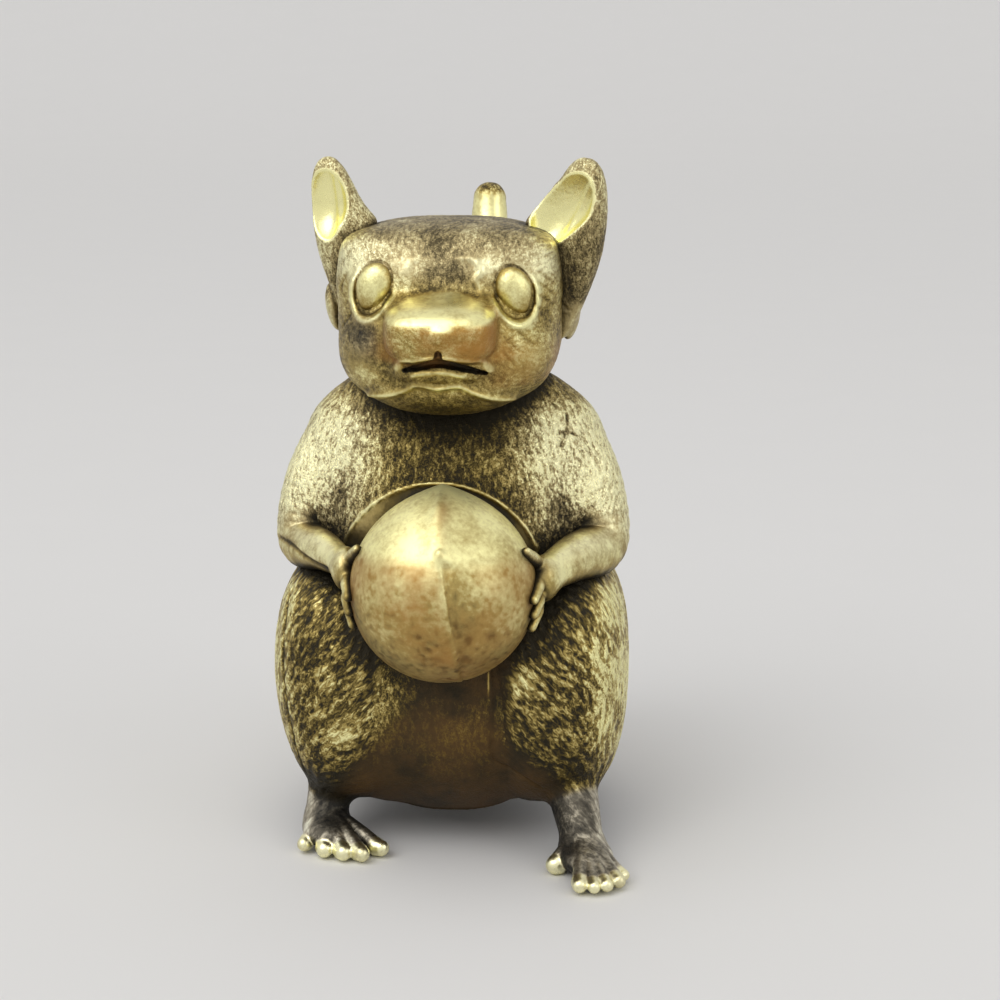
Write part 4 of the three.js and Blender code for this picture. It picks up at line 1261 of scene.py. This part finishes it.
class MOUSE_OT_eyes(bpy.types.Operator):
    """Sculpt the domed eyes"""

    bl_idname = "mouse.eyes"
    bl_label = "Eyes"

    def execute(self, context):
        figure, _, _ = sculpt()
        reach = spot(3, 3, 3)
        for name, side in SIDES.items():
            middle = figure.eye_at(side)
            made = skin(lambda p: figure.eye(p, side), middle - reach, middle + reach, FACETS["eye"])
            points, _, _ = made
            q = figure.eye_own(points, side)
            rim = fade(0.75, 1.0, np.hypot(q[:, 0] / 1.42, q[:, 2] / 1.95))
            ones = np.ones(len(points))
            # Painted shade round the eye's edge and over its lower half.
            piece(f"{name}_eye", made, 0 * ones, slot="polished_brass", stroke=ones,
                  recess=0.35 * rim + 0.3 * fade(0.3, -1.6, q[:, 2]), rub=ones * 0.85,
                  comb=combed(points, (0, 0, 1), 0.9, 1.5))
        return {"FINISHED"}


class MOUSE_OT_arms(bpy.types.Operator):
    """Sculpt the arms with their paws"""

    bl_idname = "mouse.arms"
    bl_label = "Arms"

    def execute(self, context):
        figure, hollows, _ = sculpt()
        for name, side in SIDES.items():
            low = ARM_LOW[side]
            made = skin(lambda p: figure.arm(p, side), low, np.add(low, ARM_BOX), FACETS["arm"])
            points, normals, _ = made
            _, y, z = points.T
            height, stroke = furred(points, normals, along_surface(spot(0, -0.3, -1), normals), 1.0, 1.0)
            smooth = fade(-2.0, -5.0, y) * fade(29, 27, z)
            crease = ridge_of(drawn(points, *ELBOW_CREASE), 0.18) * (y < -4)
            near = np.minimum(figure.fruit(points), figure.torso(points))
            pale = figure.pale_arm(points)
            underside_shade, top_sheen = painted_top_and_underside(normals)
            # Painted shade in the hollows along with patina, where the forearms meet the fruit and torso, and
            # on the undersides; a painted sheen on the upper sides.
            recess = hollows.shade(points, normals) + 0.4 * touching(near, 0.4) * smooth + underside_shade + 0.7 * crease
            recess += 0.35 * LUMP_GRAIN(points / 1.3) * smooth + 0.6 * figure.dark_elbow_patch(points)
            recess -= 0.54 * pale * (1 - smooth)
            rub = np.clip(0.2 + top_sheen - 0.15 * pale + 0.7 * smooth, 0, 1)
            piece(f"{name}_arm", made, height * (1 - smooth) - 0.2 * crease, stroke=stroke, recess=recess,
                  rub=rub, comb=combed(points, (0, 0, 1), 0.8, 1.5), ash=0.35 * pale)
        return {"FINISHED"}


class MOUSE_OT_hind_legs(bpy.types.Operator):
    """Sculpt the haunches, shanks, feet and toes"""

    bl_idname = "mouse.hind_legs"
    bl_label = "Hind legs"

    # How dark the haunch and the foot are, and how bright the painted highlight on the haunch's outer edge
    # is, on each side.
    TONES = {-1: (0.29, 0.26, 0.38), 1: (0.22, 0.42, 0.42)}

    def execute(self, context):
        figure, hollows, _ = sculpt()
        coarse = context.scene.mouse_surface.haunch_fur
        for name, side in SIDES.items():
            low = LEG_LOW[side]
            made = skin(lambda p: figure.leg(p, side), low, np.add(low, LEG_BOX), FACETS["leg"])
            points, normals, _ = made
            x, y, z = points.T
            lie = spot(-side * 0.7, 0.3, 0.75)
            height, stroke = furred(points, normals, along_surface(lie, normals), coarse, 1.4)

            # Regions of the leg
            foot = fade(0.2, 0.9, figure.haunch(points, side))
            haunch = 1 - foot
            belly = figure.shaded_belly(points) * haunch * fade(3.5, 5.5, z)
            toes = figure.toes(side)
            claws = [bone(points, tip, end, r, r) for _, _, tip, end, r in toes]
            claw = fade(0.2, 0.04, np.min(claws, axis=0))
            bones = [chain(points, (root, joint, end), (0.1, 0.1, 0.1)) for root, joint, _, end, _ in toes]
            tendon = fade(0.75, 0.5, np.min(bones, axis=0)) * foot * (1 - claw)
            # A painted highlight on the haunch's outward side.
            edge = fade(0.4, 0.85, side * normals[:, 0]) * fade(5, 9, z) * fade(5, -6, y)
            # The streak is a painted highlight along the shank's outward side.
            if side > 0:
                line, bright = figure.seam(points), figure.bright_seam(points)
                streak = fade(0.5, 0.85, normals[:, 0])
            else:
                line, bright = drawn(points, *HAUNCH_LINE) + FAR_AWAY * (y > -3), 0
                streak = 0.7 * fade(-0.3, -0.7, normals[:, 0])
            line = ridge_of(line, 0.12)
            streak = foot * (1 - claw) * streak

            # Tones
            haunch_tone, foot_tone, edge_tone = self.TONES[side]
            underside_shade, top_sheen = painted_top_and_underside(normals)
            # Painted shade in the hollows along with patina, on the undersides, towards the table, on the
            # belly and under the fruit; a painted sheen on the upper sides.
            base = foot_tone * foot + haunch_tone * haunch * fade(4, -5, y) + 0.2 * fade(12, 4, z)
            recess = (hollows.shade(points, normals) + underside_shade + base) * (1 - claw) + 0.7 * line + 0.7 * belly
            recess += 0.5 * fade(6.5, 4, z) * haunch - 0.35 * tendon - 0.5 * streak - edge_tone * edge
            recess += 0.4 * touching(figure.fruit(points), 0.7)
            recess += 0.5 * LUMP_GRAIN(points / 4.2) * haunch * (1 - belly) * fade(4, -4, y)
            rub = 0.1 + top_sheen + 1.1 * claw + 0.12 * edge + 0.7 * bright + 0.3 * belly
            rub += 0.45 * foot * (1 - claw)
            # The glints are painted highlights with a little wear.
            for at in GLINTS[side]:
                glint = blob(x, z, at, GLINT_RADIUS, GLINT_RADIUS) * fade(0, -3, y)
                rub += 0.25 * glint
                recess -= 0.55 * glint
            height = height * haunch * (1 - 0.2 * edge) * (1 - 0.8 * belly) - 0.2 * line
            piece(f"{name}_hind_leg", made, height, stroke=fade(0.2, 0.8, stroke), recess=recess,
                  rub=np.clip(rub, 0, 1.1), comb=combed(points, lie, 1.3, 3.0), blush=0.3 * belly,
                  ash=foot * (1 - 0.55 * claw))
        return {"FINISHED"}


class MOUSE_OT_tail(bpy.types.Operator):
    """Sculpt the tail"""

    bl_idname = "mouse.tail"
    bl_label = "Tail"

    def execute(self, context):
        figure, hollows, _ = sculpt()
        made = skin(figure.tail, *TAIL_BOX, FACETS["tail"])
        points, normals, _ = made
        z = points[:, 2]
        height, stroke = furred(points, normals, along_surface(spot(0, 0, 1), normals), 1.0, 0.5)
        tip = within(z, 40, 47, 52.2, 53.2) * fade(0.2, -0.4, normals[:, 1])
        place = figure.along_tail(points) + 0.25 * LUMP_GRAIN(points / 2.5)
        ring = ridge_of(np.abs(place % TAIL_RING - TAIL_RING / 2), 0.2) * fade(47, 42, z)
        # Painted shade in the hollows, along with patina.
        recess = hollows.shade(points, normals) + 0.35 * ring
        piece("tail", made, height * (1 - tip) - TAIL_RING_DEPTH * ring, stroke=stroke, recess=recess,
              rub=tip, comb=combed(points, (0, 0, 1), 0.9, 1.5))
        return {"FINISHED"}


class MOUSE_OT_fruit(bpy.types.Operator):
    """Sculpt the fruit"""

    bl_idname = "mouse.fruit"
    bl_label = "Fruit"

    def execute(self, context):
        figure, hollows, _ = sculpt()
        low, high = figure.fruit_at - spot(*FRUIT_REACH), figure.fruit_at + spot(*FRUIT_REACH)
        made = skin(figure.fruit, low, high, FACETS["fruit"])
        points, normals, _ = made
        x, y, z = (points - figure.fruit_at).T
        aside = x - figure.fruit_seam(z)
        front, low, high = fade(0, -3, y), fade(4.2, 2.6, z), fade(0, 4, z) * fade(4, 0.5, y)
        pits = fade(0.3, 0.5, LUMP_GRAIN(points / 0.75)) * fade(1, -5, z)
        for at, radius in FRUIT_PITS.items():
            pits = np.maximum(pits, blob(x, z, at, radius, radius) * front)
        mottle = np.maximum(LUMP_GRAIN(points / 0.5), 0) * (0.15 + 0.35 * low)
        shaded = within(aside, 0.0, 0.25, 0.6, 3.4) * fade(-4.5, -1, z) * front * low
        flush = within(aside, -5.5, -2.5, -0.5, -0.1) * fade(-6, -1.5, z) * front * low
        crest = ridge_of(aside - 0.3, 0.5) * fade(3.4, 4.6, z) * front
        near = np.minimum(figure.torso(points), both(figure.arm, points))
        underside_shade, _ = painted_top_and_underside(normals)
        # Painted shade in the hollows along with patina, where the torso and arms meet it, on its undersides
        # and over its lower half, but none on its top.
        recess = (0.7 * hollows.shade(points, normals) + 0.5 * touching(near, 0.6)) * (1 - high)
        recess += 0.1 * low + underside_shade + 0.28 * shaded + 0.45 * pits + mottle
        ones = np.ones(len(points))
        piece("fruit", made, -0.08 * pits, slot="polished_brass",
              material=antique_brass("fruit_brass", stain=0.7, rough=0.66, metal=0.8),
              stroke=ones, recess=recess, rub=ones, comb=combed(points, (0, 0, 1), 1.0, 1.2),
              blush=np.clip(0.65 * low + 0.8 * flush + 0.8 * crest, 0, 1))
        return {"FINISHED"}


class MOUSE_OT_hidden(bpy.types.Operator):
    """Finish the pins, the stud and the base plug"""

    bl_idname = "mouse.hidden"
    bl_label = "Pins and plug"

    def execute(self, context):
        metal = plain_brass()
        for node in ("fruit_stud", "front_neck_pin", "back_neck_pin", "base_plug"):
            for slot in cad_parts[node].material_slots:
                slot.material = metal
        return {"FINISHED"}


class MOUSE_OT_stage(bpy.types.Operator):
    """Set up the floor, the lights and the camera"""

    bl_idname = "mouse.stage"
    bl_label = "Stage"

    # The camera, in the figure's own frame: place in millimetres and viewing direction.
    CAMERA_AT = (14.381, -164.372, 64.0)
    CAMERA_WAY = (-0.06269, 0.97466, -0.21474)
    SENSOR_WIDTH, LENS = 36.0, 72.0
    CLIP = (0.005, 100.0)

    # The floor, in metres: how far it reaches, and the sweep up into the backdrop.
    FLOOR_REACH = 30.0
    SWEEP_AT, SWEEP_RADIUS, SWEEP_STEPS = 1.2, 0.8, 12

    # Lamps: name, kind, place and size in metres, and power. The sun has an angle in place of a size.
    LAMPS = (
        ("sun", "SUN", (-0.12, -0.16, 0.40), 0, 1.0),
        ("key", "AREA", (-0.22, -0.26, 0.36), 0.40, 0.36),
        ("fill", "AREA", (0.36, -0.20, 0.24), 0.30, 0.2),
    )
    LAMPS_AIM = (0, 0, 0.028)  # the figure's middle
    SUN_ANGLE = math.radians(70)
    WORLD_TONE = (0.46, 0.46, 0.47)

    def execute(self, context):
        scene = context.scene
        _, _, shift = sculpt()
        self.floor(scene)
        self.lights(scene)
        data = bpy.data.cameras.new("camera")
        data.sensor_width, data.lens = self.SENSOR_WIDTH, self.LENS
        data.clip_start, data.clip_end = self.CLIP
        camera = bpy.data.objects.new("camera", data)
        camera.location = Vector((np.array(self.CAMERA_AT) + shift) * MM)
        camera.rotation_euler = Vector(self.CAMERA_WAY).to_track_quat("-Z", "Y").to_euler()
        scene.collection.objects.link(camera)
        scene.camera = camera
        scene.view_settings.view_transform = "Standard"
        return {"FINISHED"}

    def floor(self, scene):
        """A pale floor that sweeps up into a backdrop."""
        profile = [(-self.FLOOR_REACH, 0.0), (self.SWEEP_AT, 0.0)]
        for a in np.linspace(0, math.pi / 2, self.SWEEP_STEPS + 1)[1:]:
            out, up = self.SWEEP_RADIUS * math.sin(a), self.SWEEP_RADIUS * (1 - math.cos(a))
            profile.append((self.SWEEP_AT + out, up))
        verts = [(x, y, z) for y, z in profile for x in (-self.FLOOR_REACH, self.FLOOR_REACH)]
        faces = [(2 * i, 2 * i + 1, 2 * i + 3, 2 * i + 2) for i in range(len(profile) - 1)]
        mesh = bpy.data.meshes.new("floor")
        mesh.from_pydata(verts, [], faces)
        mesh.shade_smooth()
        material, start, shader = new_material("floor")
        where = start.node("ShaderNodeTexCoord", out="Object")
        grain = start.noise(where, scale=60.0, detail=4.0, roughness=0.5)
        pale = scene.mouse_finish.floor
        start.feed(shader.inputs["Base Color"], start.mixed(grain, [c * 0.985 for c in pale], pale))
        shader.inputs["Roughness"].default_value = 0.75
        mesh.materials.append(material)
        obj = bpy.data.objects.new("floor", mesh)
        scene.collection.objects.link(obj)

    def lights(self, scene):
        """An even soft sun, two softboxes, and a pale world."""
        world = bpy.data.worlds.new("studio")
        world.use_nodes = True
        start = Wire(world.node_tree)
        camera = start.node("ShaderNodeLightPath", out="Is Camera Ray")
        seen = (camera + camera.other("Is Glossy Ray") + camera.other("Is Transmission Ray")).held()
        tone = start.mixed(seen, self.WORLD_TONE, scene.mouse_finish.floor)
        start.feed(world.node_tree.nodes["Background"].inputs["Color"], tone)
        scene.world = world
        for name, kind, place, size, power in self.LAMPS:
            data = bpy.data.lights.new(name, kind)
            data.energy = power
            if kind == "SUN":
                data.angle = self.SUN_ANGLE
            else:
                data.shape, data.size, data.size_y = "ELLIPSE", size, size
            lamp = bpy.data.objects.new(name, data)
            lamp.location = place
            way = Vector(self.LAMPS_AIM) - Vector(place)
            lamp.rotation_euler = way.to_track_quat("-Z", "Y").to_euler()
            scene.collection.objects.link(lamp)


class MOUSE_PT_panel(bpy.types.Panel):
    """Lists the figurine's sizes, finishes and build steps"""

    bl_label = "Brass mouse"
    bl_space_type = "VIEW_3D"
    bl_region_type = "UI"
    bl_category = "Mouse"

    def draw(self, context):
        for group in GROUPS:
            box = self.layout.box()
            settings = getattr(context.scene, group)
            for key in keys_of(settings):
                box.prop(settings, key)
        for operator in STEPS:
            self.layout.operator(operator.bl_idname)


GROUPS = {
    "mouse_body": MouseBodySizes,
    "mouse_head": MouseHeadSizes,
    "mouse_surface": MouseSurface,
    "mouse_finish": MouseFinish,
}
STEPS = (
    MOUSE_OT_stage, MOUSE_OT_torso, MOUSE_OT_head, MOUSE_OT_ears, MOUSE_OT_eyes, MOUSE_OT_arms,
    MOUSE_OT_hind_legs, MOUSE_OT_tail, MOUSE_OT_fruit, MOUSE_OT_hidden,
)


def register():
    for group in (*GROUPS.values(), *STEPS, MOUSE_PT_panel):
        bpy.utils.register_class(group)
    for key, group in GROUPS.items():
        setattr(bpy.types.Scene, key, bpy.props.PointerProperty(type=group))


def unregister():
    for key in GROUPS:
        delattr(bpy.types.Scene, key)
    for group in (MOUSE_PT_panel, *reversed(STEPS), *reversed(GROUPS.values())):
        bpy.utils.unregister_class(group)


def main():
    register()
    for step in STEPS:
        family, name = step.bl_idname.split(".")
        getattr(getattr(bpy.ops, family), name)()


if __name__ == "__main__":
    main()
